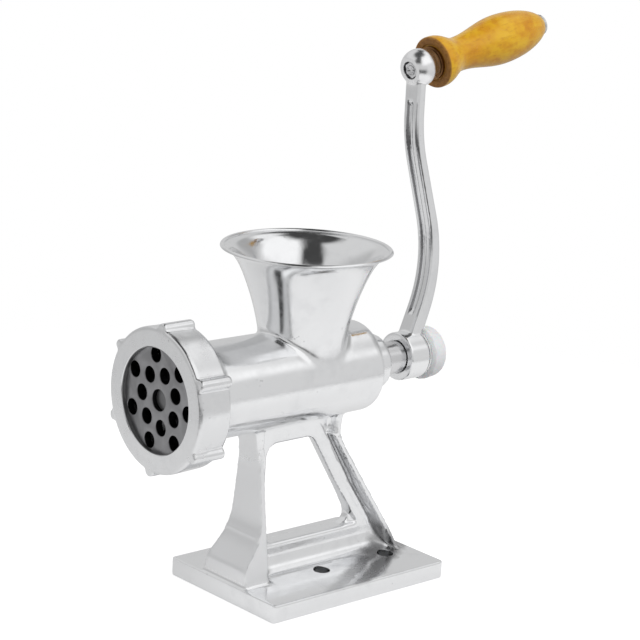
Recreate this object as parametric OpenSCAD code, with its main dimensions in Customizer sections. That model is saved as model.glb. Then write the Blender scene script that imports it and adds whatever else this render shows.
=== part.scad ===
// Hand-cranked meat grinder that bolts to a bench through its base plate.
// Millimetres, +Z up. The barrel lies along Y: the outlet faces -Y, the crank is at +Y.
// The origin is the middle of the base plate's underside.

/* [Base plate] */
// Length of the base plate, along the barrel
base_l = 120; // [112:1:150]
// Width of the base plate
base_w = 86; // [60:1:120]
// Thickness of the base plate
base_t = 10; // [6:0.5:14]
// Radius of the base plate's upright corners
base_corner_r = 2; // [0.5:0.5:8]
// Diameter of the four bolt holes
bolt_d = 9; // [6:0.5:11]
// Distance between the bolt holes across the base
bolt_gap_x = 34; // [30:1:60]
// Distance between the bolt holes along the base
bolt_gap_y = 46; // [30:1:60]
// How far the bolt pattern's middle lies behind the base plate's middle
bolt_back = 17.5; // [0:0.5:20]

/* [Stand] */
// Height of the barrel's axis above the underside
axis_h = 115; // [108:1:130]
// Thickness of the web, beside its window
web_t = 6; // [4:0.5:9]
// Thickness of the web under the window
sill_t = 10; // [9:0.5:14]
// Width of the foot where it meets the base plate
foot_w = 18; // [14:0.5:24]
// Height of the foot's sloping shoulder
foot_h = 9.2; // [6:0.2:11]
// Thickness of both flanges
flange_t = 3.2; // [2.5:0.1:5]
// How far ahead of the middle the front flange stands
front_flange_y = 45.2; // [43:0.2:48]
// How far ahead of the middle the toe of the front flange reaches
toe_y = 58.2; // [52:0.2:60]
// Height of the toe above the base plate
toe_h = 7.5; // [4:0.5:10]
// Height above the base plate at which the toe starts to flare
toe_flare_h = 25; // [20:1:32]
// Width of both flanges under the barrel
flange_top_w = 17; // [12:0.5:24]
// Width of the front flange at the base plate
front_foot_w = 36; // [26:1:44]
// Width of the rear flange at the base plate
rear_foot_w = 31; // [24:1:33]
// How far behind the middle the rear flange meets the base plate
rear_foot_y = 54; // [48:0.2:56]
// How far behind the middle the rear flange leaves the barrel
rear_neck_y = 10.6; // [6:0.2:14]
// Width of the front post between the window and the front flange
front_post = 6.6; // [5:0.2:10]
// Width of the rear post between the window and the rear flange
rear_post = 10.4; // [7:0.2:13]
// Height of the window's sill above the base plate
sill_h = 16.2; // [13:0.2:22]
// Height of web left between the window and the barrel
window_head = 9.4; // [6:0.2:14]
// Radius of the window's corners
window_r = 6.5; // [3:0.5:8]

/* [Barrel] */
// Outer radius of the barrel behind the mouth
barrel_r = 25.3; // [24:0.1:27]
// Outer radius of the barrel at its rear end
barrel_rear_r = 24.4; // [23.4:0.1:25.2]
// Radius of the barrel's bore, where the screw runs
bore_r = 21.4; // [20:0.1:22]
// How far behind the middle the barrel ends
barrel_rear = 26.1; // [24:0.1:30]
// Thickness of the barrel's rear wall
rear_wall = 4.5; // [3:0.5:6]
// Outer radius of the bearing boss behind the barrel
boss_r = 15; // [13.5:0.1:17]
// Length of the bearing boss
boss_l = 13.4; // [8:0.2:15]

/* [Mouth and plate] */
// How far ahead of the middle the mouth ends
mouth_front = 104.2; // [100:0.2:112]
// Length of the widened mouth
mouth_l = 15; // [13:0.5:18]
// Wall of the mouth around the hole plate
mouth_wall = 2.5; // [2:0.1:3]
// Diameter of the hole plate
plate_d = 62; // [60:0.5:64]
// Thickness of the hole plate
plate_t = 4.5; // [4:0.1:6]
// Depth of the plate's seat in the mouth
plate_seat = 2.9; // [2:0.1:3.6]
// Radius of the cutting chamber behind the plate
chamber_r = 28; // [27:0.1:28.5]
// Diameter of the holes in the plate
hole_d = 8.4; // [4:0.2:8.8]
// Radius of the inner circle of holes
hole_ring_in = 14; // [13.4:0.1:14.4]
// Radius of the outer circle of holes
hole_ring_out = 23.2; // [22.8:0.1:24]
// Number of holes in each circle
hole_count = 7; // [5:1:7]
// Radius of the hole in the middle of the plate
pilot_r = 5.6; // [4:0.1:6]
// Radius of the pin that keeps the plate from turning
key_r = 1.5; // [1:0.1:1.8]

/* [Ring nut] */
// Wall of the ring around the mouth's thread
ring_wall = 3.8; // [2.5:0.1:5]
// Thickness of the lip that holds the plate
ring_lip = 2.7; // [2:0.1:4]
// Diameter of the opening in the lip
ring_open_d = 54; // [50:0.5:56]
// How far the ring reaches over the mouth
ring_grip = 15.3; // [13:0.1:16]
// Number of finger lugs
lug_count = 6; // [4:1:8]
// Radius of a finger lug
lug_r = 3; // [2:0.1:3.4]
// Pitch of the mouth's thread
thread_pitch = 4; // [3:0.5:5]
// Depth of the mouth's thread
thread_h = 0.8; // [0.4:0.1:1]

/* [Hopper] */
// How far ahead of the middle the hopper stands
hopper_y = 13.1; // [8:0.2:20]
// Height of the hopper's rim above the barrel's axis
hopper_h = 68.7; // [60:0.5:90]
// Outer radius of the hopper's rim
rim_r = 44.85; // [40:0.1:50]
// Outer radius of the hopper's neck
neck_r = 22.6; // [22:0.1:24]
// How much the hopper widens below its lip
flare_r = 16.8; // [10:0.1:18]
// Wall of the hopper
hopper_wall = 2.4; // [2.2:0.1:3]

/* [Screw and knife] */
// Gap between the screw's flight and the bore
flight_gap = 0.5; // [0.3:0.05:0.8]
// Radius of the screw's core at its front
core_front_r = 9; // [8:0.5:12]
// Radius of the screw's core at its rear
core_rear_r = 12; // [10:0.5:13]
// Thickness of the flight
flight_t = 4.5; // [3:0.5:6]
// Turns of the flight
flight_turns = 3.5; // [2:0.5:5]
// Thickness of the knife
knife_t = 7; // [5:0.5:8]
// Reach of the knife's blades from the axis
knife_r = 26; // [22:0.5:26.5]
// Width of a blade
blade_w = 8; // [6:0.5:10]
// Side of the square that drives the knife
knife_sq = 9.5; // [8.5:0.1:10]
// Radius of the shaft in the bearing boss
shaft_r = 8.8; // [8.4:0.1:9]
// Thickness of the thrust washer behind the screw
thrust_t = 1.6; // [1:0.1:2]

/* [Crank] */
// Distance from the barrel's end boss to the crank's hub
shaft_show = 16.2; // [12:0.2:24]
// Outer radius of the crank's hub
hub_r = 13.2; // [12.5:0.1:14]
// Length of the crank's hub
hub_l = 13.4; // [10:0.2:18]
// Side of the square that drives the crank
crank_sq = 11; // [10:0.1:11.8]
// Radius at which the handle turns about the barrel's axis
crank_throw = 156; // [140:0.5:170]
// Angle between the crank and upright, in degrees
crank_turn = 3.5; // [0:0.5:12]
// Width of the crank's arm
arm_w = 11.4; // [9:0.2:13]
// Thickness of the arm at the handle
arm_top_t = 5.6; // [4:0.1:7]
// Thickness of the arm at the hub
arm_foot_t = 9; // [7:0.1:10]
// How far the arm bows away from the barrel
arm_bow = 16.2; // [10:0.2:18]
// Width of the groove in the arm's face
groove_w = 4.4; // [2:0.1:5]
// Depth of the groove in the arm's face
groove_h = 1.1; // [0.5:0.1:1.8]
// Height of the groove's lower end above the barrel's axis
groove_low = 22; // [19:0.5:24]
// Radius of the ball that carries the handle
ball_r = 10.1; // [9:0.1:12]
// How far the ball's middle lies behind the hub's front
ball_back = 12.8; // [10:0.1:16]

/* [Handle] */
// Tilt of the handle away from the barrel's direction, in degrees
handle_tilt = 11.7; // [0:0.1:20]
// Length of the wooden grip
grip_l = 83; // [76:0.5:110]
// Radius of the grip's collar
grip_collar_r = 14; // [11.5:0.1:15]
// Radius of the grip's neck
grip_neck_r = 9.4; // [7:0.1:11]
// Radius of the grip's belly
grip_belly_r = 13.7; // [12:0.1:16]
// Radius of the grip's far end
grip_end_r = 6.2; // [6:0.1:8]
// Radius of the rod through the grip
rod_r = 3.5; // [2.8:0.1:4]
// Radius of the rod's threaded end
rod_tip_r = 2.5; // [1.8:0.1:2.7]
// Thickness of the washer between the ball and the grip
front_washer_t = 1.5; // [1:0.1:2.5]
// Height of the domed cap on the end of the rod
cap_h = 2.5; // [2.3:0.1:5]

/* [Thumb screw] */
// Radius of the knob at its front
knob_front_r = 14.8; // [13.5:0.1:16]
// Radius of the knob at its rear
knob_rear_r = 14; // [12:0.1:15]
// Length of the knob
knob_l = 11.4; // [9:0.2:16]
// Flat sides around the knob
knob_sides = 14; // [13:1:20]
// Thickness of the washer under the knob
knob_washer_t = 1.4; // [1:0.1:2]
// Radius of the stud's thread
stud_r = 4; // [3:0.1:4.2]
// Length of thread held in the shaft
stud_grip = 13; // [11:0.5:16]

/* [Fits] */
// Radial clearance of a running fit
run_fit = 0.06; // [0.02:0.01:0.1]
// Gap between flat faces that turn on each other
face_gap = 0.1; // [0.05:0.05:0.2]

/* [Hidden] */
$fn = 72;
cut = 1;
arc_steps = 6;
chamfer = 0.8;

plate_r = plate_d / 2;
plate_bore_r = plate_r + run_fit;
plate_rear = mouth_front - plate_seat;
plate_front = plate_rear + plate_t;
mouth_r = plate_bore_r + mouth_wall;
mouth_rear = mouth_front - mouth_l;
shoulder_l = 8;
ring_bore_r = mouth_r + run_fit;
ring_r = ring_bore_r + ring_wall;
ring_front = plate_front + face_gap + ring_lip;
ring_rear = mouth_front - ring_grip;
ring_taper = 0.5;
ring_round = 1.5;
lug_ring_r = ring_r + 0.1;
lug_turn = 25;
hole_step = 360 / hole_count;
hole_turn_in = 22;
hole_turn_out = hole_turn_in - hole_step / 2;
key_ring_r = plate_r - key_r * 0.6;
key_l = 8;

barrel_inner_rear = barrel_rear - rear_wall;
barrel_corner_r = 2.5;
boss_rear = barrel_rear + boss_l;
hub_front = boss_rear + shaft_show;
hub_rear = hub_front + hub_l;

flight_r = bore_r - flight_gap;
knife_front = plate_rear - 0.25;
knife_rear = knife_front - knife_t;
knife_hub_r = 11;
screw_front = knife_rear - face_gap;
screw_rear = -(barrel_inner_rear - thrust_t - 2 * face_gap);
screw_plate_t = 3;
screw_plate_r = 16;
pin_root_r = 5;
pin_root_l = 16;
pin_recess = 2.6;
shaft_root_r = 6.5;
shaft_root_l = 30;
shaft_pin_r = 2;
shaft_pin_at = 12;
counterbore_r = shaft_r + 0.6;
counterbore_h = 3;
square_end = hub_rear - 0.6;

sill_z = base_t + sill_h;
window_top = axis_h - barrel_r - window_head;
flange_top_z = axis_h - barrel_r - 2;
flange_root_z = axis_h - bore_r - 1.5;
flange_power = 1.4;
neck_drop = 8;
rear_slope = (rear_foot_y - rear_neck_y) / (flange_top_z - neck_drop - base_t);
rear_t = flange_t * sqrt(1 + rear_slope * rear_slope);
foot_z = base_t + foot_h;

throat_r = neck_r - hopper_wall;
hopper_low = sqrt(barrel_r * barrel_r - throat_r * throat_r);
hopper_root = 8;
lip_r = rim_r - neck_r - flare_r;
hopper_steps = 14;
flare_power = 1.6;
lip_power = 13;

ball_z = axis_h + crank_throw;
ball_y = hub_front + ball_back;
ball_flat = 7.1;
ball_seat = 8.6;
nut_recess_r = 5.2;
nut_recess_h = 3.2;
lock_washer_t = 0.8;
nut_h = 2.6;
grip_floor = ball_seat + face_gap + front_washer_t + face_gap;
grip_recess_h = 0.8;
grip_front = grip_floor - grip_recess_h;
grip_rear = grip_front + grip_l;
end_washer_t = 0.8;
cap_rear = grip_rear + face_gap + end_washer_t + cap_h;
cap_r = grip_end_r - 0.2;
rod_end = cap_rear - 1.2;
collar_l = 3;
neck_at = 0.22 * grip_l;
belly_at = 0.625 * grip_l;
washer_r = 9;

knob_front = hub_rear + knob_washer_t;
knob_rear = knob_front + knob_l;
knob_hub_r = 12.8;
knob_cone = 2;
knob_round = 3;
knob_socket = 7;
knob_room = 0.5;
knob_step = 360 / knob_sides;

steel = [0.62, 0.63, 0.65];
cast = [0.80, 0.81, 0.82];
dark_steel = [0.42, 0.43, 0.44];
wood = [0.85, 0.63, 0.25];
plastic = [0.93, 0.94, 0.95];
fibre = [0.55, 0.47, 0.38];

function unit(v) = v / norm(v);

// The points of one corner of an outline, rounded to r: a and c are its neighbours
function corner(a, b, c, r) =
    let (u = unit(a - b), v = unit(c - b), half = acos(u * v) / 2,
         o = b + unit(u + v) * r / sin(half), p = b + u * r / tan(half) - o, q = b + v * r / tan(half) - o,
         from = atan2(p.y, p.x), turn = atan2(q.y, q.x) - from,
         sweep = turn > 180 ? turn - 360 : turn < -180 ? turn + 360 : turn)
    [for (i = [0:arc_steps]) o + r * [cos(from + sweep * i / arc_steps), sin(from + sweep * i / arc_steps)]];

// An outline whose points are [x, y, radius]
function rounded(pts) =
    let (n = len(pts), flat = [for (p = pts) [p.x, p.y]])
    [for (i = [0:n - 1])
        each pts[i].z > 0 ? corner(flat[(i + n - 1) % n], flat[i], flat[(i + 1) % n], pts[i].z) : [flat[i]]];

// Local +Z runs along the barrel towards the outlet, local +Y is up
module on_barrel() { translate([0, 0, axis_h]) rotate([90, 0, 0]) children(); }

// Turns what rides on the crank about the barrel's axis, away from upright
module on_crank() {
    translate([0, 0, axis_h]) rotate([0, -crank_turn, 0]) translate([0, 0, -axis_h]) children();
}

// As on_barrel, for what turns with the crank
module on_shaft() { on_crank() on_barrel() children(); }

// Local +Z runs along the handle's rod, away from the ball's centre
module on_handle() {
    on_crank() translate([0, ball_y, ball_z]) rotate([handle_tilt - 90, 0, 0]) children();
}

// An outline in Y and Z, drawn w wide across the machine
module side_shape(pts, w) { rotate([90, 0, 90]) linear_extrude(height = w, center = true) polygon(pts); }

// A cylinder between two stations of its own axis
module rod(from, to, r) { translate([0, 0, from]) cylinder(h = to - from, r = r); }

// A cylinder with a chamfer on its far end
module chamfered(from, to, r, c = chamfer) {
    rotate_extrude() polygon([[0, from], [r, from], [r, to - c], [r - c, to], [0, to]]);
}

// A square bar between two stations
module square_bar(from, to, side) {
    translate([-side / 2, -side / 2, from]) cube([side, side, to - from]);
}

// ---- body casting ----

function flange_half(z, foot) =
    flange_top_w / 2 + (foot - flange_top_w) / 2
        * pow(max(0, flange_top_z - z) / (flange_top_z - base_t), flange_power);

// Half of a flange's width at each height, from the base plate up to the barrel
module flange_width(foot) {
    steps = 9;
    low = base_t - cut;
    heights = [for (i = [0:steps]) low + (flange_root_z - low) * i / steps];
    rotate([90, 0, 0]) linear_extrude(height = 2 * base_l, center = true)
        polygon(concat([for (z = heights) [flange_half(z, foot), z]],
                       [for (i = [steps:-1:0]) [-flange_half(heights[i], foot), heights[i]]]));
}

// Distance behind the middle of the rear flange's outer face, at height z
function rear_face(z) = rear_foot_y - (z - base_t) * rear_slope;

module front_flange() {
    face = -front_flange_y;
    intersection() {
        side_shape(rounded([[face - 3, flange_root_z, 0], [face, flange_top_z - 14, 20],
                            [face, base_t + toe_flare_h, 12], [-toe_y, base_t + toe_h + 2, 4],
                            [-toe_y, base_t - cut, 0], [face + flange_t, base_t - cut, 0],
                            [face + flange_t, flange_root_z, 0]]), base_w);
        flange_width(front_foot_w);
    }
}

module rear_flange() {
    bend = flange_top_z - neck_drop;
    intersection() {
        side_shape(rounded([[rear_foot_y + rear_slope * cut, base_t - cut, 0], [rear_face(bend), bend, 12],
                            [rear_face(bend) + 1.5, flange_root_z, 0],
                            [rear_face(bend) - flange_t, flange_root_z, 0],
                            [rear_face(bend) - rear_t, bend, 12],
                            [rear_foot_y + rear_slope * cut - rear_t, base_t - cut, 0]]), base_w);
        flange_width(rear_foot_w);
    }
}

module web() {
    front = -front_flange_y + flange_t / 2;
    low = base_t - cut;
    side_shape([[front, low], [rear_face(low) - rear_t / 2, low],
                [rear_face(flange_top_z - neck_drop) - rear_t / 2, flange_top_z - neck_drop],
                [rear_face(flange_top_z - neck_drop) - rear_t / 2, flange_root_z],
                [front, flange_root_z]], web_t);
    intersection() {
        side_shape([[front, low], [rear_face(low) - rear_t / 2, low],
                    [rear_face(sill_z) - rear_t / 2, sill_z], [front, sill_z]], base_w);
        rotate([90, 0, 0]) linear_extrude(height = 2 * base_l, center = true)
            polygon([[-foot_w / 2, low], [foot_w / 2, low], [foot_w / 2, base_t], [sill_t / 2, foot_z],
                     [sill_t / 2, sill_z], [-sill_t / 2, sill_z], [-sill_t / 2, foot_z],
                     [-foot_w / 2, base_t]]);
    }
}

module window() {
    front = -front_flange_y + flange_t + front_post;
    side_shape(rounded([[front, sill_z, window_r],
                        [rear_face(sill_z) - rear_t - rear_post, sill_z, window_r],
                        [rear_face(window_top) - rear_t - rear_post, window_top, window_r],
                        [front, window_top, window_r]]), base_w);
}

module base_plate() {
    x = base_w / 2 - base_corner_r;
    y = base_l / 2 - base_corner_r;
    difference() {
        linear_extrude(height = base_t) {
            square([base_w, 2 * y], center = true);
            square([2 * x, base_l], center = true);
            for (i = [-1, 1], j = [-1, 1]) translate([i * x, j * y]) circle(r = base_corner_r, $fn = 24);
        }
        for (i = [-1, 1], j = [-1, 1])
            translate([i * bolt_gap_x / 2, bolt_back + j * bolt_gap_y / 2, -cut])
                cylinder(h = base_t + 2 * cut, d = bolt_d);
    }
}

// The outside of the mouth, the barrel and the bearing boss, as one turned shape
module barrel_outside() {
    rotate_extrude() polygon(concat(
        [[0, -boss_rear], [boss_r - chamfer, -boss_rear], [boss_r, chamfer - boss_rear],
         [boss_r + 0.4, -barrel_rear]],
        [for (i = [0:4]) [barrel_rear_r - barrel_corner_r * (1 - sin(i * 22.5)),
                          -barrel_rear + barrel_corner_r * (1 - cos(i * 22.5))]],
        [[barrel_r, mouth_rear - shoulder_l], [mouth_r - 4, mouth_rear - 1], [mouth_r, mouth_rear + 1],
         [mouth_r, mouth_front - chamfer], [mouth_r - chamfer, mouth_front], [0, mouth_front]]));
}

// The shaft's bearing, the screw's bore, the cutting chamber and the plate's seat
module barrel_inside() {
    rotate_extrude() polygon([
        [0, -boss_rear - cut], [shaft_r + run_fit, -boss_rear - cut], [shaft_r + run_fit, -barrel_inner_rear],
        [bore_r, -barrel_inner_rear], [bore_r, mouth_rear - 4], [chamber_r, mouth_rear + 1],
        [chamber_r, plate_rear], [plate_bore_r, plate_rear], [plate_bore_r, mouth_front + cut],
        [0, mouth_front + cut]]);
}

// Grooves between the turns of the mouth's thread
module mouth_thread() {
    turns = floor((mouth_l - 3) / thread_pitch);
    for (i = [0:turns - 1])
        translate([0, 0, mouth_front - 1.5 - (i + 0.5) * thread_pitch])
            rotate_extrude() polygon([
                [mouth_r - thread_h, -thread_pitch / 8], [mouth_r + cut, -thread_pitch / 3],
                [mouth_r + cut, thread_pitch / 3], [mouth_r - thread_h, thread_pitch / 8]]);
}

// Outer radius of the hopper at a share t of the way from its neck up to its rim
function hopper_r(t) = neck_r + flare_r * pow(t, flare_power) + lip_r * pow(t, lip_power);

function hopper_wall_line(inset) =
    [for (i = [0:hopper_steps]) let (t = sin(90 * i / hopper_steps))
        [hopper_r(t) - inset, hopper_low + (hopper_h - hopper_low) * t]];

module on_hopper() { translate([0, -hopper_y, axis_h]) children(); }

module hopper_outside() {
    on_hopper() rotate_extrude()
        polygon(concat([[0, hopper_root], [neck_r, hopper_root]], hopper_wall_line(0), [[0, hopper_h]]));
}

module hopper_inside() {
    on_hopper() rotate_extrude()
        polygon(concat([[0, 0], [throat_r, 0]], hopper_wall_line(hopper_wall),
                       [[rim_r - hopper_wall, hopper_h + cut], [0, hopper_h + cut]]));
}

module body_casting() {
    color(cast) difference() {
        union() {
            base_plate();
            difference() {
                union() {
                    web();
                    front_flange();
                    rear_flange();
                }
                window();
            }
            on_barrel() barrel_outside();
            hopper_outside();
        }
        on_barrel() barrel_inside();
        on_barrel() mouth_thread();
        on_barrel() translate([0, key_ring_r, 0]) rod(plate_rear - key_l, mouth_front + cut, key_r);
        hopper_inside();
    }
}

// ---- plate, key, knife and ring ----

module plate_key_pin() {
    color(steel) on_barrel() translate([0, key_ring_r, 0])
        rod(plate_rear - key_l + 0.1, mouth_front - 0.4, key_r - 0.02);
}

module hole_plate() {
    color(dark_steel) on_barrel() difference() {
        rod(plate_rear, plate_front, plate_r);
        for (i = [0:hole_count - 1], row = [[hole_ring_in, hole_turn_in], [hole_ring_out, hole_turn_out]])
            rotate([0, 0, row[1] + i * hole_step]) translate([row[0], 0, 0])
                rod(plate_rear - cut, plate_front + cut, hole_d / 2);
        rod(plate_rear - cut, plate_front + cut, pilot_r);
        translate([0, key_ring_r, 0]) rod(plate_rear - cut, plate_front + cut, key_r + 0.3);
        translate([-key_r - 0.3, key_ring_r, plate_rear - cut])
            cube([2 * key_r + 0.6, 2 * key_r, plate_t + 2 * cut]);
    }
}

module ring_nut() {
    color(cast) on_barrel() difference() {
        union() {
            rotate_extrude() polygon(concat(
                [[0, ring_rear], [ring_r - ring_taper - chamfer, ring_rear],
                 [ring_r - ring_taper, ring_rear + chamfer]],
                [for (i = [0:4]) [ring_r - ring_round * (1 - cos(i * 22.5)),
                                  ring_front - ring_round * (1 - sin(i * 22.5))]],
                [[0, ring_front]]));
            for (i = [0:lug_count - 1])
                rotate([0, 0, lug_turn + i * 360 / lug_count]) translate([lug_ring_r, 0, 0])
                    rod(ring_rear + 0.3, ring_front - 0.4, lug_r);
        }
        rod(ring_rear - cut, plate_front + face_gap, ring_bore_r);
        rod(plate_front, ring_front + cut, ring_open_d / 2);
    }
}

module cross_knife() {
    color(steel) on_shaft() difference() {
        union() {
            rod(knife_rear, knife_front - 1, knife_hub_r);
            for (i = [0:3])
                rotate([0, 0, 90 * i + 12]) translate([0, -blade_w / 2, knife_rear])
                    rotate([90, 0, 90]) linear_extrude(height = knife_r)
                        polygon([[0, 1.5], [1.5, 0], [blade_w, 0.6], [blade_w, knife_t - 2], [1.2, knife_t],
                                 [0, knife_t]]);
        }
        square_bar(knife_rear - cut, knife_front + cut, knife_sq + 0.2);
    }
}

module knife_drive_pin() {
    color(steel) on_shaft() {
        rod(screw_front - pin_root_l, screw_front, pin_root_r);
        square_bar(screw_front, plate_rear - 0.3, knife_sq);
        chamfered(plate_rear - 0.3, plate_front - pin_recess, pilot_r - run_fit, 0.4);
    }
}

// ---- screw and shaft ----

flight_front = screw_front - 2;
flight_rear = screw_rear + screw_plate_t - 0.5;

// Turns the shaft's pin square to the flight, which it passes without touching
module on_shaft_pin() {
    at = screw_rear + shaft_pin_at;
    turned = 360 * flight_turns * (at - flight_rear) / (flight_front - flight_rear);
    translate([0, 0, at]) rotate([0, 90, 90 - turned]) children();
}

module auger_screw() {
    // The flight climbs left-handed, so that the crank drives the food forwards when it turns clockwise
    color(cast) on_shaft() difference() {
        union() {
            rotate_extrude() polygon([[0, screw_rear], [screw_plate_r, screw_rear],
                [screw_plate_r, screw_rear + screw_plate_t], [core_rear_r, screw_rear + screw_plate_t],
                [core_front_r, flight_front], [core_front_r, screw_front], [0, screw_front]]);
            translate([0, 0, flight_rear])
                linear_extrude(height = flight_front - flight_rear, twist = 360 * flight_turns,
                               slices = ceil(18 * flight_turns), segments = 6)
                    polygon([[core_front_r - 2, -flight_t / 2], [flight_r * cos(9), -flight_r * sin(9) / 1.6],
                             [flight_r, 0], [flight_r * cos(9), flight_r * sin(9) / 1.6],
                             [core_front_r - 2, flight_t / 2]]);
        }
        rod(screw_rear - cut, screw_rear + shaft_root_l, shaft_root_r + 0.02);
        rod(screw_front - pin_root_l - 0.02, screw_front + cut, pin_root_r + 0.02);
        on_shaft_pin() cylinder(h = 2 * core_rear_r, r = shaft_pin_r + 0.02, center = true);
    }
}

module drive_shaft() {
    tapped = hub_rear - stud_grip - 1;
    color(steel) on_shaft() difference() {
        union() {
            rod(-counterbore_h + 0.4 - hub_front, screw_rear, shaft_r);
            rod(screw_rear - 0.01, screw_rear + shaft_root_l - 0.1, shaft_root_r);
            square_bar(-square_end, -hub_front, crank_sq);
        }
        rod(-square_end - cut, -tapped, stud_r + run_fit);
        on_shaft_pin() cylinder(h = 2 * core_rear_r, r = shaft_pin_r + 0.02, center = true);
    }
}

module shaft_pin() {
    reach = core_rear_r - 1.2;
    color(steel) on_shaft() on_shaft_pin() cylinder(h = 2 * reach, r = shaft_pin_r, center = true);
}

module thrust_washer() {
    color(fibre) on_barrel() difference() {
        rod(-barrel_inner_rear, -barrel_inner_rear + thrust_t, screw_plate_r - 0.5);
        rod(-barrel_inner_rear - cut, -barrel_inner_rear + thrust_t + cut, shaft_r + 0.3);
    }
}

// ---- crank ----

arm_top = [ball_y - 1.8, ball_z];
arm_neck = [arm_top.x - 2, axis_h + 0.76 * crank_throw];
arm_bend = [arm_top.x + arm_bow, axis_h + 0.316 * crank_throw];
arm_foot = [hub_front + hub_l / 2 - 1.6, axis_h];
// The line of the arm's middle in Y and Z, from the ball down to the hub
arm_line = concat([arm_top], corner(arm_top, arm_neck, arm_bend, 85),
                  corner(arm_neck, arm_bend, arm_foot, 76), [arm_foot]);
arm_n = len(arm_line) - 1;

function arm_thickness(z) =
    arm_top_t + (arm_foot_t - arm_top_t) * pow(1 - (z - axis_h) / crank_throw, 2);

// A line along the arm, moved forwards by a share of the arm's thickness, plus a plain distance
function arm_side(line, share, extra = 0) =
    [for (i = [0:len(line) - 1])
        let (along = unit(line[min(len(line) - 1, i + 1)] - line[max(0, i - 1)]),
             across = [along.y, -along.x])
        line[i] + across * (share * arm_thickness(line[i].y) + extra)];

function backwards(pts) = [for (i = [len(pts) - 1:-1:0]) pts[i]];

// One round end of the groove, on its floor at a point, square to the arm's face.
// It is a touch wider than the groove, so that it crosses the groove's sides.
module groove_end(at, along) {
    translate([0, at.x, at.y]) rotate([-atan2(along.y, -along.x), 0, 0])
        cylinder(h = groove_h + cut, r = groove_w / 2 + 0.08);
}

// The groove runs from just under the ball down to just above the hub
module arm_groove() {
    bend_end = arm_line[arm_n - 1];
    low = bend_end + (arm_foot - bend_end) * (bend_end.y - axis_h - groove_low) / (bend_end.y - axis_h);
    top = arm_top + (arm_neck - arm_top) * 0.5;
    line = concat([top], [for (i = [1:arm_n - 1]) arm_line[i]], [low]);
    deep = arm_side(line, 0.5, -groove_h);
    side_shape(concat(deep, backwards(arm_side(line, 0.5, cut))), groove_w);
    groove_end(deep[0], unit(arm_neck - arm_top));
    groove_end(deep[len(deep) - 1], unit(arm_foot - bend_end));
}

module crank_arm() {
    color(cast) difference() {
        union() {
            on_crank() difference() {
                side_shape(concat(arm_side(arm_line, 0.5), backwards(arm_side(arm_line, -0.5))), arm_w);
                arm_groove();
            }
            on_shaft() rotate_extrude() polygon([
                [0, -hub_rear], [hub_r - 1.3, -hub_rear], [hub_r - 0.5, 0.8 - hub_rear],
                [hub_r, -hub_front - 1], [hub_r - 1, -hub_front], [0, -hub_front]]);
            on_handle() intersection() {
                sphere(r = ball_r);
                rod(-ball_flat, ball_seat, ball_r + cut);
            }
        }
        on_shaft() {
            square_bar(-hub_rear - cut, -hub_front + cut, crank_sq + 0.1);
            rod(-hub_front - counterbore_h, -hub_front + cut, counterbore_r);
            // A spot face in the back of the arm, where the washer and the knob turn
            rod(-knob_rear - cut, -hub_rear - face_gap / 2, knob_front_r + knob_room);
        }
        on_handle() {
            rod(-ball_flat - cut, -ball_flat + nut_recess_h, nut_recess_r);
            rod(-ball_flat, ball_seat + cut, rod_tip_r + 0.02);
            rod(0, ball_seat + cut, rod_r + 0.02);
        }
    }
}

// ---- handle ----

module handle_rod() {
    color(steel) on_handle() {
        rod(0.1, rod_end, rod_r);
        rod(-ball_flat - 0.3, 0.2, rod_tip_r);
    }
}

module rod_lock_washer() {
    seat = -ball_flat + nut_recess_h;
    color(steel) on_handle() difference() {
        rod(seat - lock_washer_t, seat, nut_recess_r - 0.4);
        rod(seat - lock_washer_t - cut, seat + cut, rod_tip_r + 0.1);
        translate([-0.4, 0, seat - lock_washer_t - cut]) cube([0.8, ball_r, lock_washer_t + 2 * cut]);
    }
}

module rod_nut() {
    seat = -ball_flat + nut_recess_h - lock_washer_t;
    color(steel) on_handle() difference() {
        translate([0, 0, seat - nut_h]) cylinder(h = nut_h, r = nut_recess_r - 0.5, $fn = 6);
        rod(seat - nut_h - cut, seat + cut, rod_tip_r + 0.02);
    }
}

// Radius of the grip at a distance s from its collar's face
function grip_r(s) =
    s < collar_l ? grip_collar_r
    : s < neck_at ? grip_collar_r - (grip_collar_r - grip_neck_r)
        * (1 - cos(180 * (s - collar_l) / (neck_at - collar_l))) / 2
    : s < belly_at ? grip_neck_r + (grip_belly_r - grip_neck_r)
        * (1 - cos(180 * (s - neck_at) / (belly_at - neck_at))) / 2
    : let (fall = (s - belly_at) / (grip_l - belly_at), low = grip_end_r / grip_belly_r)
        grip_belly_r * sqrt(1 - (1 - low * low) * fall * fall);

module wooden_grip() {
    steps = 26;
    edge = 1.2;
    color(wood) on_handle() difference() {
        translate([0, 0, grip_front]) rotate_extrude() polygon(concat(
            [[0, 0], [grip_collar_r - edge, 0], [grip_collar_r - edge / 4, edge / 3]],
            [for (i = [0:steps]) let (s = edge + (grip_l - edge) * i / steps) [grip_r(s), s]],
            [[0, grip_l]]));
        rod(grip_front - cut, grip_floor, washer_r + 1);
        rod(grip_front, grip_rear + cut, rod_r + run_fit);
    }
}

module grip_front_washer() {
    color(steel) on_handle() difference() {
        rod(ball_seat, ball_seat + front_washer_t, washer_r);
        rod(ball_seat - cut, ball_seat + front_washer_t + cut, rod_r + 0.05);
    }
}

module grip_end_washer() {
    seat = grip_rear + face_gap;
    color(steel) on_handle() difference() {
        rod(seat, seat + end_washer_t, grip_end_r - 0.4);
        rod(seat - cut, seat + end_washer_t + cut, rod_r + 0.05);
    }
}

module grip_end_cap() {
    seat = cap_rear - cap_h;
    color(steel) on_handle() difference() {
        rotate_extrude() polygon(concat(
            [[0, seat], [cap_r, seat]],
            [for (i = [0:6]) [cap_r * cos(i * 14.9), seat + 0.6 + (cap_h - 0.6) * sin(i * 15)]],
            [[0, cap_rear]]));
        rod(seat - cut, rod_end + 0.1, rod_r + 0.02);
    }
}

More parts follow.
